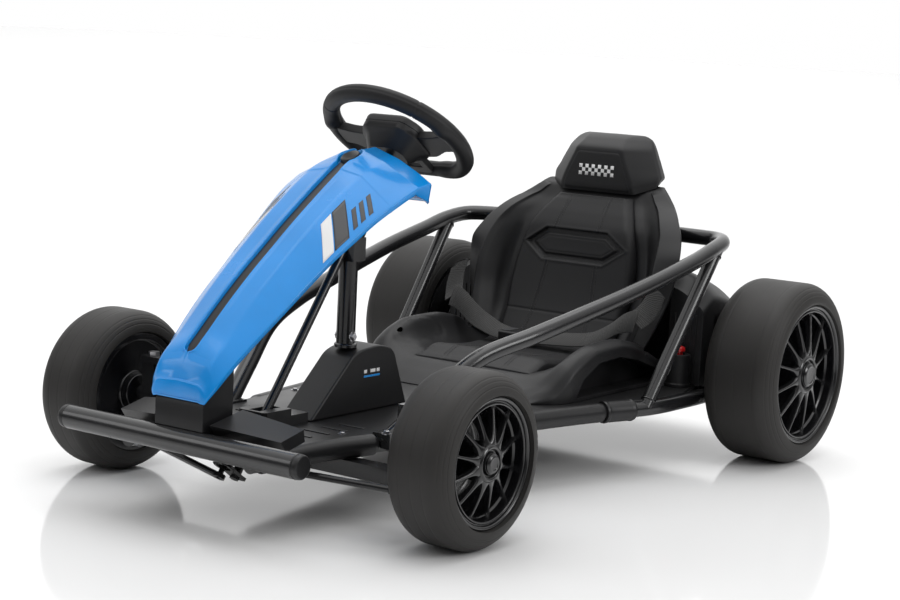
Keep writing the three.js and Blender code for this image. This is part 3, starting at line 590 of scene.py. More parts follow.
def railBetween(side, low, high, count=60):
    out = []
    for y in spread(low, high, count):
        i = min(range(len(railLine)), key=lambda n: abs(railLine[n].y - y))
        j = max(0, min(len(railLine) - 2, i - 1 if railLine[i].y > y else i))
        a, b = railLine[j], railLine[j + 1]
        p = a.lerp(b, clamp((y - a.y) / (b.y - a.y)))
        out.append(Vector((side * p.x, y, p.z)))
    return out


def crossBar(half, y, z):      # a straight line from side to side
    return [Vector((-half, y, z)), Vector((half, y, z))]


def hexBolt(at, axis, size=6, height=4):
    at, axis = Vector(at), Vector(axis).normalized()
    head = turned([(0, 0), (0, size), (height * 0.8, size), (height, size * 0.82), (height, 0)], at,
        axis, 6, closed=False)
    return joinParts(head, turned([(-1.2, 0), (-1.2, size * 1.5), (0, size * 1.5), (0, 0)], at, axis,
        32, closed=False))


for hand, side in sides:
    rail = sweep([Vector((side * p.x, p.y, p.z)) for p in railLine[::3]], tubes["railRadius"], 28)
    standIn(f"lower_rail_{hand}", "tube", rail, tubePaint)
    foot, top = (Vector((side * x, y, z)) for x, y, z in braceEnds)
    rise = (top - foot).normalized()
    brace = sweep([foot, top], tubes["braceRadius"], 28)
    weld = [(1.6 * math.cos(math.pi * k / 4), 1.3 * math.sin(math.pi * k / 4)) for k in range(8)]
    beads = [turned([(d + along, tubes["braceRadius"] + out) for along, out in weld], at, rise, 40)
        for at, d in ((foot, 14.5), (top, -14.5))]
    standIn(f"rear_brace_{hand}", "tube", joinParts(brace, *beads), tubePaint)

hoopLine = curveThrough(hoopSide + [(-x, y, z) for x, y, z in reversed(hoopSide)], 420)
hoopParts = [sweep(hoopLine, tubes["hoopRadius"], 32)]
for hand, side in sides:
    hoopParts.append(boxBlock([side * x for x in tubes["footX"]], tubes["footY"], tubes["footZ"]))
standIn("upper_hoop", "tube", joinParts(*hoopParts), tubePaint)
bolts = [hexBolt((side * 157, y, 121.5), (0, 0, 1), 5) for _, side in sides for y in (-342, -312)]
makeObject("hoop_foot_bolts", joinParts(*bolts), zincSteel)

bumper = {"y": -594, "z": 121, "radius": 17, "half": 209, "saddle": 17.3, "pedalRoom": 19}
bar = sweep(crossBar(bumper["half"], bumper["y"], bumper["z"]), bumper["radius"], 40)
standIn("front_bumper", "bar", bar, tubePaint)
for hand, side in sides:
    corners = [(0.3, 0, 0), (0.3, 17.3, 0.4), (1.8, 17.3, 0.4), (2.3, 16.4, 0.3), (3.2, 16.8, 0.3),
        (10, 16.4, 3.5), (10, 0, 0)]
    profile = roundedOutline(corners)
    data = turned(profile, (side * bumper["half"], bumper["y"], bumper["z"]), (side, 0, 0), 48,
        closed=False)
    standIn(f"bumper_cap_{hand}", "plug", data, trayPlastic)
print("frame tubes ready")


# Floor tray
tray = {"top": 118, "bottom": 113, "roll": 15.5, "collar": 17.2, "rolls": ((-560, -350), (-268, 112)),
    "collarSpan": (112, 168), "slot": ((-18, 18), (-472, -398)), "rollGap": 2.2,
    "screws": ((92, -540), (108, -380), (150, -180), (174, -60))}
edge = [(p.x, p.y) for p in railLine if p.y <= 300]
edge[0] = (112, -574)
half = edge[::6] + [(240, 402), (240, 596)]
plate = outlineBlock("z", half + [(-x, y) for x, y in reversed(half)], tray["bottom"], tray["top"])
floorTray = standIn("floor_tray", "plate", plate, trayPlastic, 30)
carve(floorTray, boxBlock(*tray["slot"], (100, 150)), smoothAngle=30)
bevelEdges(floorTray, 1.2)


def rollRadius(along, span):      # the rolled edge narrows at both ends
    ends = dent(along * span, 1.5), dent((1 - along) * span, 1.5)
    return tray["roll"] - tray["rollGap"] * ends[0] - tray["rollGap"] * ends[1]


trayParts = []
for _, side in sides:
    for low, high in tray["rolls"]:
        line = railBetween(side, low, high)
        trayParts.append(sweep(line, lambda along, around: rollRadius(along, high - low), 32))
    line = railBetween(side, *tray["collarSpan"], 40)
    trayParts.append(sweep(line, lambda along, around: tray["collar"] + 0.9
        * (dent(along - 0.06, 0.03) + dent(along - 0.94, 0.03)), 36))
standIn("floor_tray", "edges", joinParts(*trayParts), trayPlastic, 40)

# Raised ribs where the driver's heels rest, and the screws that hold the tray.
ribs = [boxBlock((side * (48 + 4 * n), side * (92 + 4 * n)), (-470 + 34 * n, -464 + 34 * n),
    (117.5, 119.4)) for _, side in sides for n in range(5)]
bevelEdges(makeObject("heel_ribs", joinParts(*ribs), trayPlastic), 0.6)
screws = [hexBolt((side * x, y, 118.4), (0, 0, 1), 4, 2.5) for _, side in sides
    for x, y in tray["screws"]]
makeObject("tray_screws", joinParts(*screws), zincSteel)
print("tray ready")


# Nose: cowl, stripe, oval cap, collar, side bands and the box under the tip
noseTable = smoothTable([(-597, 206, 42, 203, 50, 176), (-588, 232, 46, 226, 56, 189),
    (-551, 271, 45, 260, 65, 227), (-511, 308, 44, 300, 73, 262), (-471, 342, 44, 337, 79, 294),
    (-431, 373, 44, 371, 83, 324), (-391, 404, 45, 403, 88, 354), (-351, 433, 46, 432, 94, 381),
    (-311, 461, 48, 458, 101, 408), (-271, 487, 49, 479, 109, 431), (-235.3, 503, 48, 490, 113, 448)])
nose = {"wall": 4, "band": 10, "grooveHalf": 9, "grooveDepth": 7, "grooveStart": -582, "lip": 1.5,
    "capY": -254, "capZ": 495.2, "capHalf": (13, 17), "stepY": -290, "stepHeight": 1.0}


def grooveAt(y):
    half = nose["grooveHalf"]
    start = nose["grooveStart"]
    if y < start + half:
        gap = max(half**2 - (start + half - y) ** 2, 0.0) if y > start else 0.0
        return math.sqrt(gap), nose["grooveDepth"] * ease((y - start) / 4)
    reach = 1 - ((y - nose["capY"]) / (nose["capHalf"][1] + 2)) ** 2
    oval = (nose["capHalf"][0] + 2) * math.sqrt(max(reach, 0.0))
    if y > nose["capY"]:
        return max(oval, 0.0), nose["grooveDepth"] * ease((nose["capY"] + 19 - y) / 3)
    return max(half, oval), nose["grooveDepth"]


def noseCorners(y):
    _, top, creaseX, creaseZ, edgeX, edgeZ = noseTable(y)
    half, depth = grooveAt(y)
    step = nose["stepHeight"] * ease((y - nose["stepY"]) / 3)
    lip = nose["lip"] * ease((y + 590) / 8)
    half = max(half, 0.3)
    blunt = 9 * ease((-582 - y) / 14)      # the tip's corners are rounder
    return [((0, y, top - depth + step), 0), ((half, y, top - depth + step), 1.2),
        ((half + 1.6, y, top + lip + step), 1.6), ((half + 5, y, top + lip * 0.8 + step), 2),
        ((half + 9, y, top - 0.4 + step), 3), ((creaseX, y, creaseZ + step), 4.5 + blunt),
        ((edgeX + 1, y, edgeZ + nose["band"]), 2.2 + blunt), ((edgeX - 2, y, edgeZ), 1.5 + blunt * 0.5),
        ((edgeX - 6, y, edgeZ + 2), 0)]


places = sorted(set(spread(-597, -235.6, 110) + spread(-590, -566, 40) + spread(-276, -236, 40)
    + spread(-292, -286, 8)))
rings = [mirrorRing(roundCorners(noseCorners(y))) for y in places]
tip = []
for ahead, scale in ((3.0, 0.86), (2.6, 0.92), (1.6, 0.968), (0.7, 0.99)):
    tip.append([Vector((p.x * scale, -597 - ahead, 186 + (p.z - 186) * scale)) for p in rings[0]])
cowl = standIn("nose_cowl", "shell", skin(tip + rings, closedRing=False, ends=(True, False)),
    bluePlastic, 55)
thicken(cowl, nose["wall"] - 1)

stripe = []
for y in spread(-578, -264, 94):
    top = noseTable(y)[1] - nose["grooveDepth"] + 0.3
    half = 8.4 * math.sqrt(clamp((y + 580) / 9))
    stripe.append(roundCorners([((-half, y, top), 0), ((-half, y, top + 2.4), 0.8),
        ((0, y, top + 3.4), 4), ((half, y, top + 2.4), 0.8), ((half, y, top), 0)], 3))
standIn("nose_stripe", "insert", skin(stripe), trayPlastic)

slope = math.atan2(503 - 487, 271 - 235.3)      # the top's slope under the cap
capRings = []
for height, shrink in ((-8, 0), (-1, 0), (0.9, 0.8), (1.9, 2.4), (2.3, 5)):
    ring = []
    for a, b in ovalPoints(0, 0, nose["capHalf"][0] - shrink, nose["capHalf"][1] - shrink, 40):
        ring.append(Vector((a, nose["capY"] + b * math.cos(slope) - height * math.sin(slope),
            nose["capZ"] + b * math.sin(slope) + height * math.cos(slope))))
    capRings.append(ring)
standIn("nose_cap", "oval", skin(capRings), trayPlastic)


# The collar that closes the nose under the steering wheel.
def collarRing(y):
    t = (y + 235) / 45
    mix = lambda a, b: a + (b - a) * t
    drop = 2.5 * ease((y + 197) / 7)
    shrink = 1 - 0.02 * ease((y + 197) / 7)
    points = [((0, mix(503, 508)), 0), ((mix(48, 44), mix(490, 494)), 5),
        ((mix(82, 80), mix(472, 477)), 6), ((mix(112, 105), mix(457, 463)), 2.5),
        ((mix(110, 100), mix(446, 433)), 1.5), ((mix(104, 94), mix(448, 437)), 0)]
    return mirrorRing(roundCorners([((x * shrink, y, z - drop), r) for (x, z), r in points], 4))


collar = standIn("nose_collar", "shell", openSkin([collarRing(y) for y in spread(-235, -190, 24)]),
    bluePlastic, 50)
thicken(collar, 4)
# A black strip laid just under the joint between cowl and collar, seen only through the gap: painted shade
# for the shadow in the joint.
seam = [collarRing(y) for y in (-236.2, -234.4)]
jointShadeStrip = [[Vector((p.x * 0.985, p.y, p.z - 2.2)) for p in ring] for ring in seam]
makeObject("nose_collar_seam", openSkin(jointShadeStrip), trayPlastic)


# Slanted bands on the nose's side: flat patches just proud of the facet.
def facetPatch(side, yLow, yHigh, low, high):
    rows = []
    for t in spread(low, high, 12):
        row = []
        for y in spread(yLow, yHigh, 10):
            y = y + bands["slant"] * t
            _, _, creaseX, creaseZ, edgeX, edgeZ = noseTable(y)
            a, b = Vector((creaseX, y, creaseZ)), Vector((edgeX + 1, y, edgeZ + nose["band"]))
            out = Vector(((a - b).z, 0, (b - a).x)).normalized()
            p = a.lerp(b, t) + out * bands["proud"]
            row.append(Vector((side * p.x, p.y, p.z)))
        rows.append(row)
    return openSkin(rows)


bands = {"slant": -38, "proud": 0.35, "white": ((-372, -352, 0.16, 0.90),),
    "graphite": ((-350, -324, 0.16, 0.90), (-316, -308, 0.45, 0.84), (-302, -294, 0.45, 0.84),
    (-288, -280, 0.45, 0.84))}
for label, look in (("white", markWhite), ("graphite", markGraphite)):
    patches = [facetPatch(side, *place) for _, side in sides for place in bands[label]]
    thicken(makeObject(f"nose_bands_{label}", joinParts(*patches), look, outward=False), 0.3)

support = {"outline": ((-596, 122), (-596, 172), (-588, 186), (-551, 223), (-537, 234), (-537, onTray),
    (-576, onTray)), "half": 44}
foot = standIn("nose_support", "box",
    outlineBlock("x", support["outline"], -support["half"], support["half"]), trayPlastic, 30)
carve(foot, sweep(crossBar(60, bumper["y"], bumper["z"]), bumper["saddle"], 40), smoothAngle=30)
bevelEdges(foot, 3, 4)
print("nose ready")


# Pedals
pedalEnds = {"inner": (51, ((-590, 149), (-525, 162), (-519, 131), (-572, 122))),
    "outer": (148, ((-557, 137), (-511, 148), (-508, 131), (-546, 122)))}
for name, side in (("brake_pedal", 1), ("accelerator_pedal", -1)):
    rings = [[Vector((side * x, y, z)) for y, z in points] for x, points in pedalEnds.values()]
    pad = standIn(name, "block", skin(rings), trayPlastic, 30, body=name)
    carve(pad, sweep(crossBar(300, bumper["y"], bumper["z"]), bumper["pedalRoom"], 40), smoothAngle=30)
    bevelEdges(pad, 2.2, 3)
print("pedals ready")


# Pedestal, post and column
pedestalShape = {"outline": ((-355, onTray, 0), (-262, 205, 8), (-243, 212, 14), (-200, 216, 14),
    (-165, 207, 14), (-135, 135, 10), (-128, onTray, 0)), "half": 29, "bevel": 3.5,
    "bars": ((-236, 7), (-221, 12), (-206, 7)), "barZ": (176, 181), "lineY": (-236, -198),
    "lineZ": (169.5, 172.5), "markX": (28.6, 29.3)}
outline = roundedOutline(pedestalShape["outline"], 5, True)
pedestal = standIn("pedestal", "cover",
    outlineBlock("x", outline, -pedestalShape["half"], pedestalShape["half"]), mouldedBlack, 30)
bevelEdges(pedestal, pedestalShape["bevel"], 4, 50)
markX = {side: [side * x for x in pedestalShape["markX"]] for _, side in sides}
marks = [boxBlock(markX[side], (y, y + width), pedestalShape["barZ"])      # plain bars on the cover's sides
         for y, width in pedestalShape["bars"] for _, side in sides]
bevelEdges(makeObject("pedestal_marks", joinParts(*marks), markWhite), 0.2, 2)
bars = [boxBlock(markX[side], pedestalShape["lineY"], pedestalShape["lineZ"]) for _, side in sides]
bevelEdges(makeObject("pedestal_line", joinParts(*bars), bluePlastic), 0.2, 2)

steeringPost = {"y": -246.7, "bottom": 213.8, "radius": 14, "foot": 17, "length": 128, "boltZ": 230}
base = Vector((0, steeringPost["y"], steeringPost["bottom"]))
profile = [(0, 0), (0, steeringPost["foot"]), (4, steeringPost["foot"]), (5.5, 15.8), (6, 14.2),
    (steeringPost["length"], steeringPost["radius"]), (steeringPost["length"] + 0.2, 0)]
standIn("steering_post", "tube", turned(profile, base, (0, 0, 1), 48, closed=False), tubePaint)
clips = [hexBolt((side * steeringPost["radius"], steeringPost["y"], steeringPost["boltZ"]),
    (side, 0, 0), 5.2) for _, side in sides]
makeObject("post_bolts", joinParts(*clips), zincSteel)

tilt = math.radians(54.3)
wheelCentre = Vector((0, -142, 523))
columnAxis = Vector((0, math.cos(tilt), math.sin(tilt)))
wheelDown = Vector((0, math.sin(tilt), -math.cos(tilt)))
column = {"radius": 6.75, "length": 576.5, "reach": 30}


def onWheel(x, y, z):
    return wheelCentre + Vector((x, 0, 0)) + wheelDown * y + columnAxis * z


def placed(data):
    vertices, faces = data
    return [onWheel(*v) for v in vertices], faces


far = -column["length"]
shaft = sweep([Vector((0, 0, z)) for z in (far - 6, far + 60, -120, -9)], column["radius"], 28)
ring = turned([(far - 2.5, 11), (far - 2.5, 15.4), (far - 1.9, 16), (far + 1.9, 16), (far + 2.5, 15.4),
    (far + 2.5, 11)], (0, -column["reach"], 0), (0, 0, 1), 40)
arm = outlineBlock("z", [(-11, 11), (11, 11), (10, -20), (-10, -20)], far - 2.4, far + 2.4)
standIn("steering_column", "shaft", placed(joinParts(shaft, ring, arm)), tubePaint, body="steering")

# Steering wheel
grip = {"radius": 13.2, "centre": 108.5, "flat": 84, "joints": (0.13, 0.87), "seamDepth": 0.8,
    "thumbs": (0.205, 0.795), "length": 690}
loopPoints = [(0, -grip["centre"], 0)]
for degrees in (74.5, 59, 43.5, 28, 12.5, -3, -18.5, -34):
    a = math.radians(degrees)
    loopPoints.append((grip["centre"] * math.cos(a), -grip["centre"] * math.sin(a), 0))
loopPoints += [(66, grip["flat"] - 3, 0), (38, grip["flat"], 0), (0, grip["flat"], 0)]
loopPoints += [(-x, y, z) for x, y, z in reversed(loopPoints[1:-1])]
loop = curveThrough(loopPoints, 420, closed=True)


def gripRadius(along, around):
    joint = sum(dent((along - place) * grip["length"], 1.1) for place in grip["joints"]) * 1.1
    seamLine = dent(((around + math.pi) % (2 * math.pi) - math.pi) * 13, 1.0) * grip["seamDepth"]
    backLine = dent((around - math.pi) * 13, 1.0) * grip["seamDepth"]
    thumb = 3.2 * sum(dent((along - place) * grip["length"], 11) for place in grip["thumbs"])
    inward = max(0.0, math.cos(around - math.pi / 2)) ** 2
    lower = ease((0.07 - abs(along - 0.5)) / 0.03) * 1.6
    return grip["radius"] - joint - seamLine - backLine + thumb * inward - lower


gripMesh = sweep(loop, gripRadius, 48, closed=True)
standIn("steering_wheel", "grip", placed(gripMesh), leatherette, 60, body="steering")
spokeParts = []
for _, side in sides:
    corners = [(side * 40, -14), (side * 74, -17), (side * 103, -26), (side * 105, 14), (side * 84, 17),
        (side * 60, 33), (side * 40, 36)]
    outline = roundedOutline([(x, y, 5) for x, y in corners], 4, True)
    spokeParts.append(outlineBlock("z", outline, -11, 3))
spokeParts.append(outlineBlock("z", [(-24, 38), (24, 38), (26, 78), (15, 84), (-15, 84), (-26, 78)],
    -11, -1))
spokesPiece = standIn("steering_wheel", "spokes", placed(joinParts(*spokeParts)), mouldedBlack, 30,
    body="steering")
slotBlock = placed(boxBlock((-13, 13), (56, 66), (-30, 30)))
carve(spokesPiece, slotBlock, smoothAngle=30)
bevelEdges(spokesPiece, 3.2, 4, 35)

hubFace = [(-49.7, -20), (-34, -44), (34, -44), (49.7, -20), (49.7, 30), (30, 43.7), (-30, 43.7),
    (-49.7, 30)]


def hubOutline(scale, z, blendToOval=0.0, across=46, tall=40):
    ring = roundCorners([((x * scale, y * scale, z), 9) for x, y in hubFace], 5, True)
    out = []
    for p in ring:
        a = math.atan2(p.y, p.x)
        out.append(p.lerp(Vector((across * math.cos(a), tall * math.sin(a), z)), blendToOval))
    return out


hubRings = [hubOutline(*ring) for ring in ((1, -38, 1, 33, 29), (1, -36, 1, 35, 31),
    (1, -20, 0.8, 43, 38), (0.985, -14.5, 0.1), (1, -12.5), (1, -4), (0.985, -3.4), (0.985, -2.6),
    (1, -2), (1, 5), (0.985, 8), (0.95, 9.6), (0.90, 10), (0.72, 10), (0.70, 8.6), (0.68, 8.6),
    (0.66, 10), (0.2, 10.6))]
standIn("steering_hub", "shell", placed(skin(hubRings)), mouldedBlack, 38, body="steering")
screwsOnHub = [turned([(9.5, 0), (9.5, 3), (11.2, 3), (11.4, 0)], (x, y, 0), (0, 0, 1), 24,
    closed=False) for x, y in ((-40, 0), (40, 0))]
makeObject("steering_hub_buttons", placed(joinParts(*screwsOnHub)), trayPlastic, "steering")
print("steering ready")


# Seat: tub, back shell, two padded pieces and their stitches
tubTable = smoothTable([(8, 160, 120, 122, 121), (40, 188, 130, 143, 138), (77, 199, 163, 176, 151),
    (110, 200, 180, 192, 152), (147, 200, 192, 201, 146), (214, 200, 195, 203, 140),
    (272, 200, 182, 194, 141), (330, 198, 160, 170, 145), (366, 192, 150, 155, 148)])
tub = {"panHalf": 120, "floor": onTray,
    "arch": ((84, 124), (104, 152), (150, 174), (212, 177), (268, 166), (330, 146), (352, 124)),
    "archDepth": 36, "leaf": {"centre": (158, 150), "half": (17, 62)}}


def tubHalf(y):
    _, half, rimZ, hump, pan = tubTable(y)
    floor = tub["floor"]
    low = max(floor + 1.5, rimZ)
    return [((0, y, pan), 0), ((tub["panHalf"], y, pan), 18),
        ((half - 44, y, (hump + pan) / 2 + 2), 16), ((half - 30, y, hump), 9),
        ((half - 12, y, hump - 1), 7), ((half, y, low), 5), ((half, y, floor + 0.2), 0.5),
        ((half - 4, y, floor), 0.1)]


tubRings = [mirrorRing(roundCorners(tubHalf(y), 6))
    for y in sorted(set(spread(8, 366, 90) + spread(70, 235, 84)))]
tubRings = [[Vector((p.x * 0.97, 5.5, min(p.z, 119.5))) for p in tubRings[0]]] + tubRings
vertices, faces = skin(tubRings)


# A leaf-shaped line and dish pressed into each hump.
def pressHump(p):
    (cx, cy), (rx, ry) = tub["leaf"]["centre"], tub["leaf"]["half"]
    if p.z < 140:
        return p
    u, v = (abs(p.x) - cx) / rx, (p.y - cy) / ry
    reach = math.hypot(u * (1 + 0.35 * v), v)
    depth = 2.0 * dent((reach - 1) * rx, 1.8) + 2.2 * ease((1 - reach) * 3)
    return Vector((p.x, p.y, p.z - depth))


seatBase = standIn("seat_base", "tub", ([pressHump(p) for p in vertices], faces), mouldedBlack, 50)
cuts = mirroredBlocks(outlineBlock("x", tub["arch"], 200 - tub["archDepth"], 212),
    outlineBlock("z", ovalPoints(167, 105, 3.2, 7, 20), 150, 230))
carve(seatBase, boxBlock((-210, 210), (292, 380), (172, 260)), *cuts, smoothAngle=40)

backTable = smoothTable([(173, 312, 118, 160, 304, 176, 326, 352),
    (215, 338, 122, 170, 314, 190, 342, 371), (255, 353, 126, 175, 326, 203, 350, 388),
    (288, 362, 124, 176, 334, 209, 356, 392), (322, 370, 118, 173, 350, 211, 362, 400),
    (355, 377, 108, 166, 372, 200, 384, 428), (380, 392, 96, 152, 392, 182, 404, 434),
    (400, 409, 84, 132, 418, 160, 428, 446), (416, 424, 74, 108, 440, 124, 452, 466)])
shell = {"padDepth": 16, "pocket": 12, "crestRound": 1.8, "edgeRound": 3}


def shellHalf(z):
    _, front, panel, crestX, crestY, outX, outY, back = backTable(z)
    deep = front + shell["padDepth"]
    return [((0, deep, z), 0), ((panel + 1, deep + shell["pocket"] * 0.4, z), 4),
        ((panel + (crestX - panel) * 0.35, deep + shell["pocket"] * 0.6, z), 14),
        ((crestX - 7, crestY + 8, z), 5), ((crestX, crestY, z), shell["crestRound"]),
        ((outX, outY, z), shell["edgeRound"]), ((outX - 6, min(outY + 14, back - 1), z), 6),
        ((min(outX - 20, 146), back, z), 12), ((0, back, z), 0)]


def raiseGap(p, amount):      # the gap under the headrest climbs towards its ends
    return Vector((p.x, p.y, p.z + amount * 0.55 * clamp(p.y - 432, 0, 34)))


shellRings = [[raiseGap(p, ease((z - 388) / 28)) for p in mirrorRing(roundCorners(shellHalf(z), 6))]
    for z in spread(173, 416, 90)]
standIn("seat_shell", "back", skin(shellRings), mouldedBlack, 50)

pad = {"inset": 3, "edge": 13, "edgeDrop": 13, "seam": (62, 40), "seamDepth": 1.3, "crease": 212,
    "hexagon": {"z": 327, "half": 27, "point": 100, "flat": 61, "depth": 6.5, "inner": 14}}


def hexDistance(x, z):
    h = pad["hexagon"]
    dx, dz = abs(x), abs(z - h["z"])
    run = math.hypot(h["half"], h["point"] - h["flat"])
    slant = (h["half"] * dx + (h["point"] - h["flat"]) * dz) / run - h["half"] * h["point"] / run
    return max(dz - h["half"], slant)


def seamAt(z):
    return pad["seam"][1] + (pad["seam"][0] - pad["seam"][1]) * clamp((400 - z) / 240)


def padFront(x, z):
    front, half = backTable(max(z, 173))[1:3]
    front += (z - 173) * 0.55 if z < 173 else 0
    inside = half - pad["inset"] - abs(x)
    y = front + pad["edgeDrop"] * (1 - clamp(inside / pad["edge"])) ** 2.4
    y -= 2.2 * (1 - (x / half) ** 2)      # stuffing swells the middle
    reach = hexDistance(x, z)
    if reach > -1:
        y += pad["seamDepth"] * dent(abs(x) - seamAt(z), 1.1)
    h = pad["hexagon"]
    y += h["depth"] * ease((0.5 - reach) / (2.6 if z > h["z"] else 5)) - 4.2 * ease((-reach - 7) / 5)
    y += 1.0 * dent(reach + h["inner"], 0.8)
    y -= 1.0 * dent(reach - 2.0, 2.0)
    y += 1.3 * dent(z - pad["crease"], 1.6) + 1.4 * dent(abs(z - 408), 3)
    return y


# A closed piece from a grid of front points and their places on the flat back.
def gridSkin(at, us, vs, back):
    front = [[at(u, v) for u in us] for v in vs]
    return skin([row + [back(p) for p in reversed(row)] for row in front])


def padPoint(u, z):
    x = u * (backTable(max(z, 173))[2] - pad["inset"])
    return Vector((x, padFront(x, z), z))


seatPad = standIn("seat_pad", "leather",
    gridSkin(padPoint, spread(-1, 1, 150), spread(172, 412, 150),
    lambda p: Vector((p.x, backTable(p.z)[1] + 15.2, p.z))), leatherette, 70)


def lapTop(x, y):
    pan = tubTable(y)[4]
    inside = min(115 - abs(x), (y - 78) * 1.4)
    swell = 3 + 17 * ease((y - 76) / 60)
    z = pan + swell - min(7, swell - 1) * (1 - clamp(inside / 15)) ** 2.2 + 1.5 * (1 - (x / 116) ** 2)
    z -= pad["seamDepth"] * dent(abs(x) - 64 - (y - 290) * 0.02, 1.1)
    z -= 2.0 * dent(y - 196, 1.8) * ease((64 - abs(x)) / 4)
    z += 8 * ease((y - 262) / 46)
    return z


cushion = standIn("seat_cushion", "leather",
    gridSkin(lambda x, y: Vector((x, y, lapTop(x, y))), spread(-115, 115, 120), spread(78, 305, 120),
    lambda p: Vector((p.x, p.y, tubTable(p.y)[4] + 0.4))), leatherette, 70)

stitch = {"length": 3.4, "pitch": 5.0, "radius": 0.42, "apart": 3.2}


# A row of short stitches along a seam.
def stitchRow(points, out):
    length = stitch["length"]
    parts, travelled, due = [], 0, 0
    for a, b in zip(points, points[1:]):
        step = (b - a).length
        while due < travelled + step:
            along = (b - a).normalized()
            middle = a.lerp(b, (due - travelled) / step) + out * 0.15
            ends = [middle - along * length / 2 - out * 0.5, middle - along * length / 4 + out * 0.25,
                middle + along * length / 4 + out * 0.25, middle + along * length / 2 - out * 0.5]
            parts.append(sweep(ends, stitch["radius"], 6))
            due += stitch["pitch"]
        travelled += step
    return parts


stitches = []
for _, side in sides:
    for low, high in ((176, 298), (357, 404)):
        for apart in (-stitch["apart"], stitch["apart"]):
            line = [Vector((side * seamAt(z) + apart, padFront(side * seamAt(z) + apart, z), z))
                for z in spread(low, high, 60)]
            stitches += stitchRow(line, Vector((0, -1, 0.25)).normalized())
    for apart in (-stitch["apart"], stitch["apart"]):
        line = [(side * (64 + (y - 290) * 0.02) + apart, y) for y in spread(92, 296, 60)]
        stitches += stitchRow([Vector((x, y, lapTop(x, y))) for x, y in line], Vector((0, 0, 1)))
makeObject("seat_stitches", joinParts(*stitches), threadBlack)

# Headrest
headTable = smoothTable([(416.3, 432, 74, 106, 458, 478), (434, 427, 70, 108, 464, 494),
    (491, 430, 46, 88, 474, 500), (510, 452, 40, 76, 484, 501), (518, 472, 44, 62, 488, 497)])


def headHalf(z, shrink=0.0):
    _, front, faceX, sideX, sideY, back = headTable(z)
    return [((0, front + shrink, z), 0), ((faceX - shrink, front + 1 + shrink, z), 5),
        ((sideX - shrink, sideY, z), 6), ((sideX - 6 - shrink, back - 4 - shrink, z), 5),
        ((0, back - shrink, z), 0)]


headRings = [mirrorRing([Vector((p.x, p.y, 417.2)) for p in roundCorners(headHalf(416.3, 2.0), 6)])]
headRings += [mirrorRing(roundCorners(headHalf(z), 6)) for z in spread(418.2, 516, 60)]
headRings = [[raiseGap(p, 1 - ease((p.z - 417) / 48)) for p in ring] for ring in headRings]
headRings += [mirrorRing([Vector((p.x, p.y, z)) for p in roundCorners(headHalf(518, shrink), 6)])
    for z, shrink in ((517.4, 1.2), (518, 4))]
standIn("headrest", "cover", skin(headRings), mouldedBlack, 50)


def headFace(x, z):
    front, faceX = headTable(z)[1:3]
    return front + 0.7 * clamp(abs(x) / faceX)


insert = []
for z in spread(421, 488, 40):
    inside = min((z - 421) / 5, (488 - z) / 5, 1)
    half = headTable(z)[2] - 5 - 4 * (1 - clamp(inside)) ** 2
    insert.append([Vector((x, headFace(x, z) - 1.6 * clamp((half - abs(x)) / 2.5) * clamp(inside * 2)
        + 0.6, z)) for x in spread(-half, half, 50)])
makeObject("headrest_panel", openSkin(insert), leatherette)

check = {"size": 6.4, "columns": 11, "rows": 3, "bottom": 446}
tiles = []
for n in range(check["columns"]):
    for row in range(n % 2, check["rows"], 2):
        x = (n - check["columns"] / 2) * check["size"]
        z = check["bottom"] + row * check["size"]
        corners = [(x, z), (x + check["size"], z), (x + check["size"], z + check["size"]),
            (x, z + check["size"])]
        tiles.append(([Vector((a, headFace(a, b) - 1.35, b)) for a, b in corners], [(0, 1, 2, 3)]))
thicken(makeObject("headrest_check", joinParts(*tiles), markWhite, outward=False), 0.3)
print("seat ready")


# Belts
belts = {"half": 19, "thick": 2.3, "y": 262, "buckleX": -34, "buckleHalf": 26}


def strap(name, path, widthAt, stands=()):
    half, rings, place = belts["half"], [], [0]
    for a, b in zip(path, path[1:]):
        place.append(place[-1] + (b - a).length)
    for i, p in enumerate(path):
        along = (path[min(i + 1, len(path) - 1)] - path[max(i - 1, 0)]).normalized()
        across = widthAt(i / (len(path) - 1)).normalized()
        out = across.cross(along).normalized()
        section = [(-half, -0.3), (-half + 0.8, -0.5), (half - 0.8, -0.5), (half, -0.3), (half, 0.3),
            (half - 0.8, 0.5), (-half + 0.8, 0.5), (-half, 0.3)]
        rings.append([p + across * a + out * b * belts["thick"] for a, b in section])
    piece = makeObject(name, skin(rings), webbingBlack, stands=stands, smoothAngle=60)
    uv = piece.data.uv_layers.new(name="weave")
    for polygon in piece.data.polygons:
        for corner in polygon.loop_indices:
            p = piece.data.vertices[piece.data.loops[corner].vertex_index].co / mm
            i = min(range(len(path)), key=lambda n: (path[n] - p).length)
            uv.data[corner].uv = (place[i] / 10,
                (p - path[i]).dot(widthAt(i / (len(path) - 1)).normalized()) / 10)
    return piece


upright, lying = Vector((0, 0.42, 0.9)), Vector((0, 0.9, 0.42))
for hand, side in sides:
    end = belts["buckleX"] + side * belts["buckleHalf"]
    route = [(side * 186, 214.3), (side * 176, 214.6), (side * 160, 210), (side * 140, 197.5),
        (side * 120, 188.5), (side * 100, 183), ((side * 100 + end) / 2, 178.5), (end, 177.3)]
    path = curveThrough([(x, belts["y"] + 14 * (1 - n / 7), z + 13 * (1 - n / 7))
        for n, (x, z) in enumerate(route)], 60)
    strap(f"belt_{hand}_webbing", path, lambda t: upright.lerp(lying, ease(t)), [f"belt_{hand}"])
    tail = curveThrough([(side * 183, 277, 226), (side * 192, 290, 236), (side * 199, 302, 252),
        (side * 201, 316, 278)], 30)
    strap(f"belt_{hand}_tail", tail, lambda t: Vector((side * 0.75, -0.15, -0.5)))
buckleX, buckleHalf = belts["buckleX"], belts["buckleHalf"]
buckle = boxBlock((buckleX - buckleHalf, buckleX + buckleHalf), (238, 286), (170.5, 184.5))
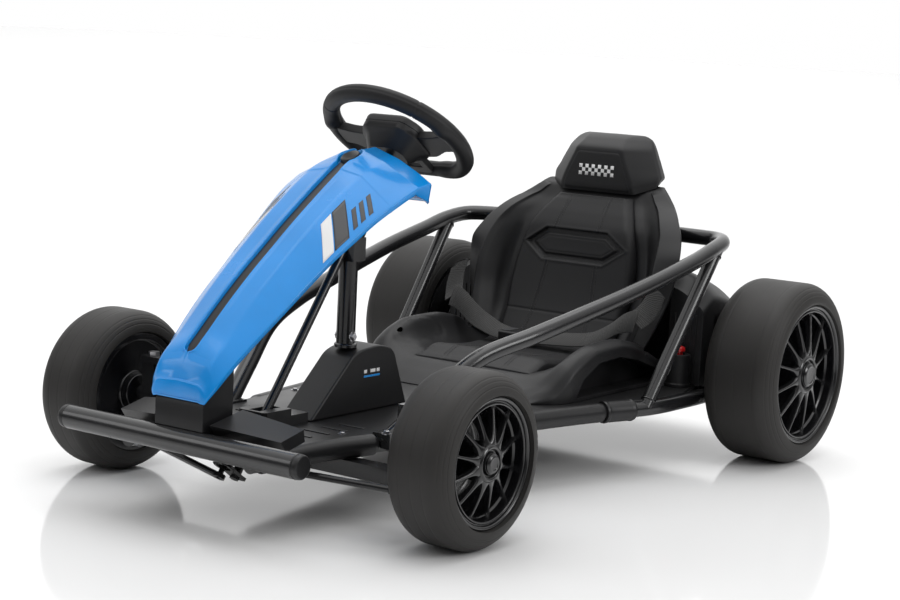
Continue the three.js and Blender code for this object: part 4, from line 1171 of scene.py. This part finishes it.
release = boxBlock((buckleX - 24, buckleX - 8), (246, 278), (184, 186))
bevelEdges(standIn("belt_buckle", "case", buckle, trayPlastic, 30), 3, 4)
bevelEdges(makeObject("belt_buckle_button", release, caseGrey), 0.8, 3)
print("belts ready")


# Rear housing and stop button
housingTable = smoothTable([(373, 293, 272, 245), (414, 316, 296, 262), (455, 305, 285, 255),
    (512, 283, 262, 232), (570, 228, 205, 185), (604, 160, 150, 140)])
housing = {"half": 258, "shoulder": 218, "flat": 150, "floor": onTray, "front": 373, "back": 604,
    "ribs": (204, 214, 224, 234, 244), "ribWidth": 3.5, "lines": (-150, -60, 60, 150),
    "lineRadius": 2.2, "beadRadius": 3.2}


def housingHalf(y):
    _, top, high, low = housingTable(y)
    return [((0, y, top), 0), ((housing["flat"], y, top), 12), ((housing["shoulder"], y, high), 12),
        ((housing["half"], y, low), 9), ((housing["half"], y, housing["floor"]), 0)]


rings = [mirrorRing(roundCorners(housingHalf(y), 6))
    for y in spread(housing["front"], housing["back"], 60)]
low = housing["floor"]
front = [Vector((p.x * 0.985, housing["front"] - 0.9, low + (p.z - low) * 0.985)) for p in rings[0]]
rearHousing = standIn("rear_housing", "cover", skin([front] + rings), mouldedBlack, 40)
carve(rearHousing, boxBlock((-195, 195), (360, 402), (100, 330)),
    *mirroredBlocks(boxBlock((240, 262), (410, 540), (100, 238))), smoothAngle=40)
ribs = [boxBlock((side * x, side * (x + housing["ribWidth"])), (370.4, 374), (128, 236))
    for _, side in sides for x in housing["ribs"]]
bevelEdges(makeObject("rear_housing_ribs", joinParts(*ribs), mouldedBlack), 0.9, 3)
seams = []      # raised lines down the cover's back and a bead along its foot
for x in housing["lines"]:
    line = [Vector((x, y, housingTable(y)[1] + 0.2)) for y in spread(470, 602, 30)]
    seams.append(sweep(line, housing["lineRadius"], 12))
seams.append(sweep(crossBar(252, housing["back"], 124), housing["beadRadius"], 16))
makeObject("rear_housing_lines", joinParts(*seams), mouldedBlack)

post = {"x": 229, "y": 350}
data = turned([(onTray, 0), (onTray, 22), (123, 22), (124.5, 20.6), (126, 20), (169.5, 20),
    (171.4, 19.4), (172, 18), (172, 11.5), (171, 11), (155, 11), (155, 0)], (post["x"], post["y"], 0),
    (0, 0, 1), 64, closed=False)
standIn("button_post", "case", data, mouldedBlack)
corners = [(162, 0, 0), (162, 7, 0), (176.5, 7, 0.5), (176.5, 10.5, 1), (181, 10.5, 2), (184.6, 8.6, 4),
    (186, 0, 0)]
profile = roundedOutline(corners, 5)
data = turned(profile, (post["x"], post["y"], 0), (0, 0, 1), 48, closed=False)
standIn("stop_button", "dome", data, redPlastic, body="stop_button")
print("rear ready")


# Finishes for the CAD nodes that are shown as they are
nodeLooks = {"steering_wheel": mouldedBlack, "rear_carrier": tubePaint, "rear_axle": zincSteel,
    "gear_motor": caseGrey, "battery": caseGrey, "motor_controller": caseGrey,
    "front_axle_beam": tubePaint, "kingpin": zincSteel, "knuckle": tubePaint, "tie_rod": tubePaint,
    "column_bracket": trayPlastic, "column_bearing": tubePaint}
stood = set()
for piece in list(bpy.context.scene.objects):
    if "rides" in piece:
        body, stands = piece["rides"], json.loads(piece["stands"])
        del piece["rides"], piece["stands"]
        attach(piece, body)
        if stands:
            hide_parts(*stands)
            stood.update(stands)
for name, node in frame["nodes"].items():
    if name in stood:
        continue
    look = next(look for start, look in nodeLooks.items() if name.startswith(start))
    node.data.materials.clear()
    node.data.materials.append(look)
    bevelEdges(node, 0.7, 2, 40)
print("finishes ready")


# Floor, light and camera
studio = {"floor": (0.92, 0.92, 0.92), "around": 0.07, "above": 1.75, "behind": 1.3}
floorMesh = bpy.data.meshes.new("studioFloor")
floorMesh.from_pydata([(-60, -60, 0), (60, -60, 0), (60, 60, 0), (-60, 60, 0)], [], [(0, 1, 2, 3)])
floor = bpy.data.objects.new("studioFloor", floorMesh)
bpy.context.collection.objects.link(floor)
paper = bpy.data.materials.new("studioPaper")
paper.use_nodes = True
shader = paper.node_tree.nodes["Principled BSDF"]
shader.inputs["Base Color"].default_value = (*studio["floor"], 1)
shader.inputs["Roughness"].default_value = 0.09
shader.inputs["Specular IOR Level"].default_value = 0.4
floorMesh.materials.append(paper)

world = bpy.data.worlds.new("studioLight")
bpy.context.scene.world = world
world.use_nodes = True
worldTree = world.node_tree
backdrop = worldTree.nodes["Background"]
backdrop.inputs["Color"].default_value = (1, 1, 1, 1)
backdrop.inputs["Strength"].default_value = 1.0
around = worldTree.nodes.new("ShaderNodeBackground")
facing = worldTree.nodes.new("ShaderNodeTexCoord").outputs["Generated"]
parts = worldTree.nodes.new("ShaderNodeSeparateXYZ")
worldTree.links.new(facing, parts.inputs[0])
above = mathNode(worldTree, "POWER", mathNode(worldTree, "MAXIMUM", parts.outputs["Z"], 0.0), 1.5)
behind = worldTree.nodes.new("ShaderNodeVectorMath")
behind.operation = "DOT_PRODUCT"
behind.inputs[1].default_value = (-0.58, 0.81, 0)
worldTree.links.new(facing, behind.inputs[0])
wallGlow = mathNode(worldTree, "POWER", mathNode(worldTree, "MAXIMUM", behind.outputs["Value"], 0.0),
    2.0)
glow = mathNode(worldTree, "ADD", mathNode(worldTree, "MULTIPLY", above, studio["above"]),
    mathNode(worldTree, "MULTIPLY", wallGlow, studio["behind"]))
worldTree.links.new(mathNode(worldTree, "ADD", glow, studio["around"]), around.inputs["Strength"])
seen = worldTree.nodes.new("ShaderNodeLightPath")
pick = worldTree.nodes.new("ShaderNodeMixShader")
worldTree.links.new(seen.outputs["Is Camera Ray"], pick.inputs["Fac"])
worldTree.links.new(around.outputs[0], pick.inputs[1])
worldTree.links.new(backdrop.outputs[0], pick.inputs[2])
worldTree.links.new(pick.outputs[0], worldTree.nodes["World Output"].inputs["Surface"])

lights = {"overhead": ((-0.2, 0.5, 3.4), (0, 0, 0.2), 3.0, 30),
    "frontLeft": ((-2.6, -2.8, 1.9), (0, 0, 0.3), 1.3, 11),
    "rightSide": ((3.4, 0.6, 1.8), (0, 0, 0.3), 1.3, 30)}
for name, (place, aim, size, power) in lights.items():
    light = bpy.data.lights.new(name, "AREA")
    light.size = size
    light.energy = power
    lamp = bpy.data.objects.new(name, light)
    bpy.context.collection.objects.link(lamp)
    lamp.location = place
    lamp.rotation_euler = (Vector(aim) - Vector(place)).to_track_quat("-Z", "Y").to_euler()

view = {"place": (1.7889, -2.4722, 0.6816), "azimuth": 35.77, "elevation": 8.64, "roll": 2.85,
    "lens": 78.2, "shift": (0.0021, 0.0315)}
a, e, r = (math.radians(view[k]) for k in ("azimuth", "elevation", "roll"))
back = Vector((math.sin(a) * math.cos(e), -math.cos(a) * math.cos(e), math.sin(e)))
right = (-back).cross(Vector((0, 0, 1))).normalized()
up = right.cross(-back)
turnedRight = right * math.cos(r) + up * math.sin(r)
turnedUp = -right * math.sin(r) + up * math.cos(r)
camera = bpy.data.objects.new("camera", bpy.data.cameras.new("camera"))
bpy.context.collection.objects.link(camera)
camera.matrix_world = Matrix.Translation(view["place"]) @ Matrix((turnedRight, turnedUp,
    back)).transposed().to_4x4()
camera.data.lens = view["lens"]
camera.data.sensor_width = 36
camera.data.shift_x, camera.data.shift_y = view["shift"]
bpy.context.scene.camera = camera
bpy.context.scene.view_settings.view_transform = "Standard"
print("camera ready")
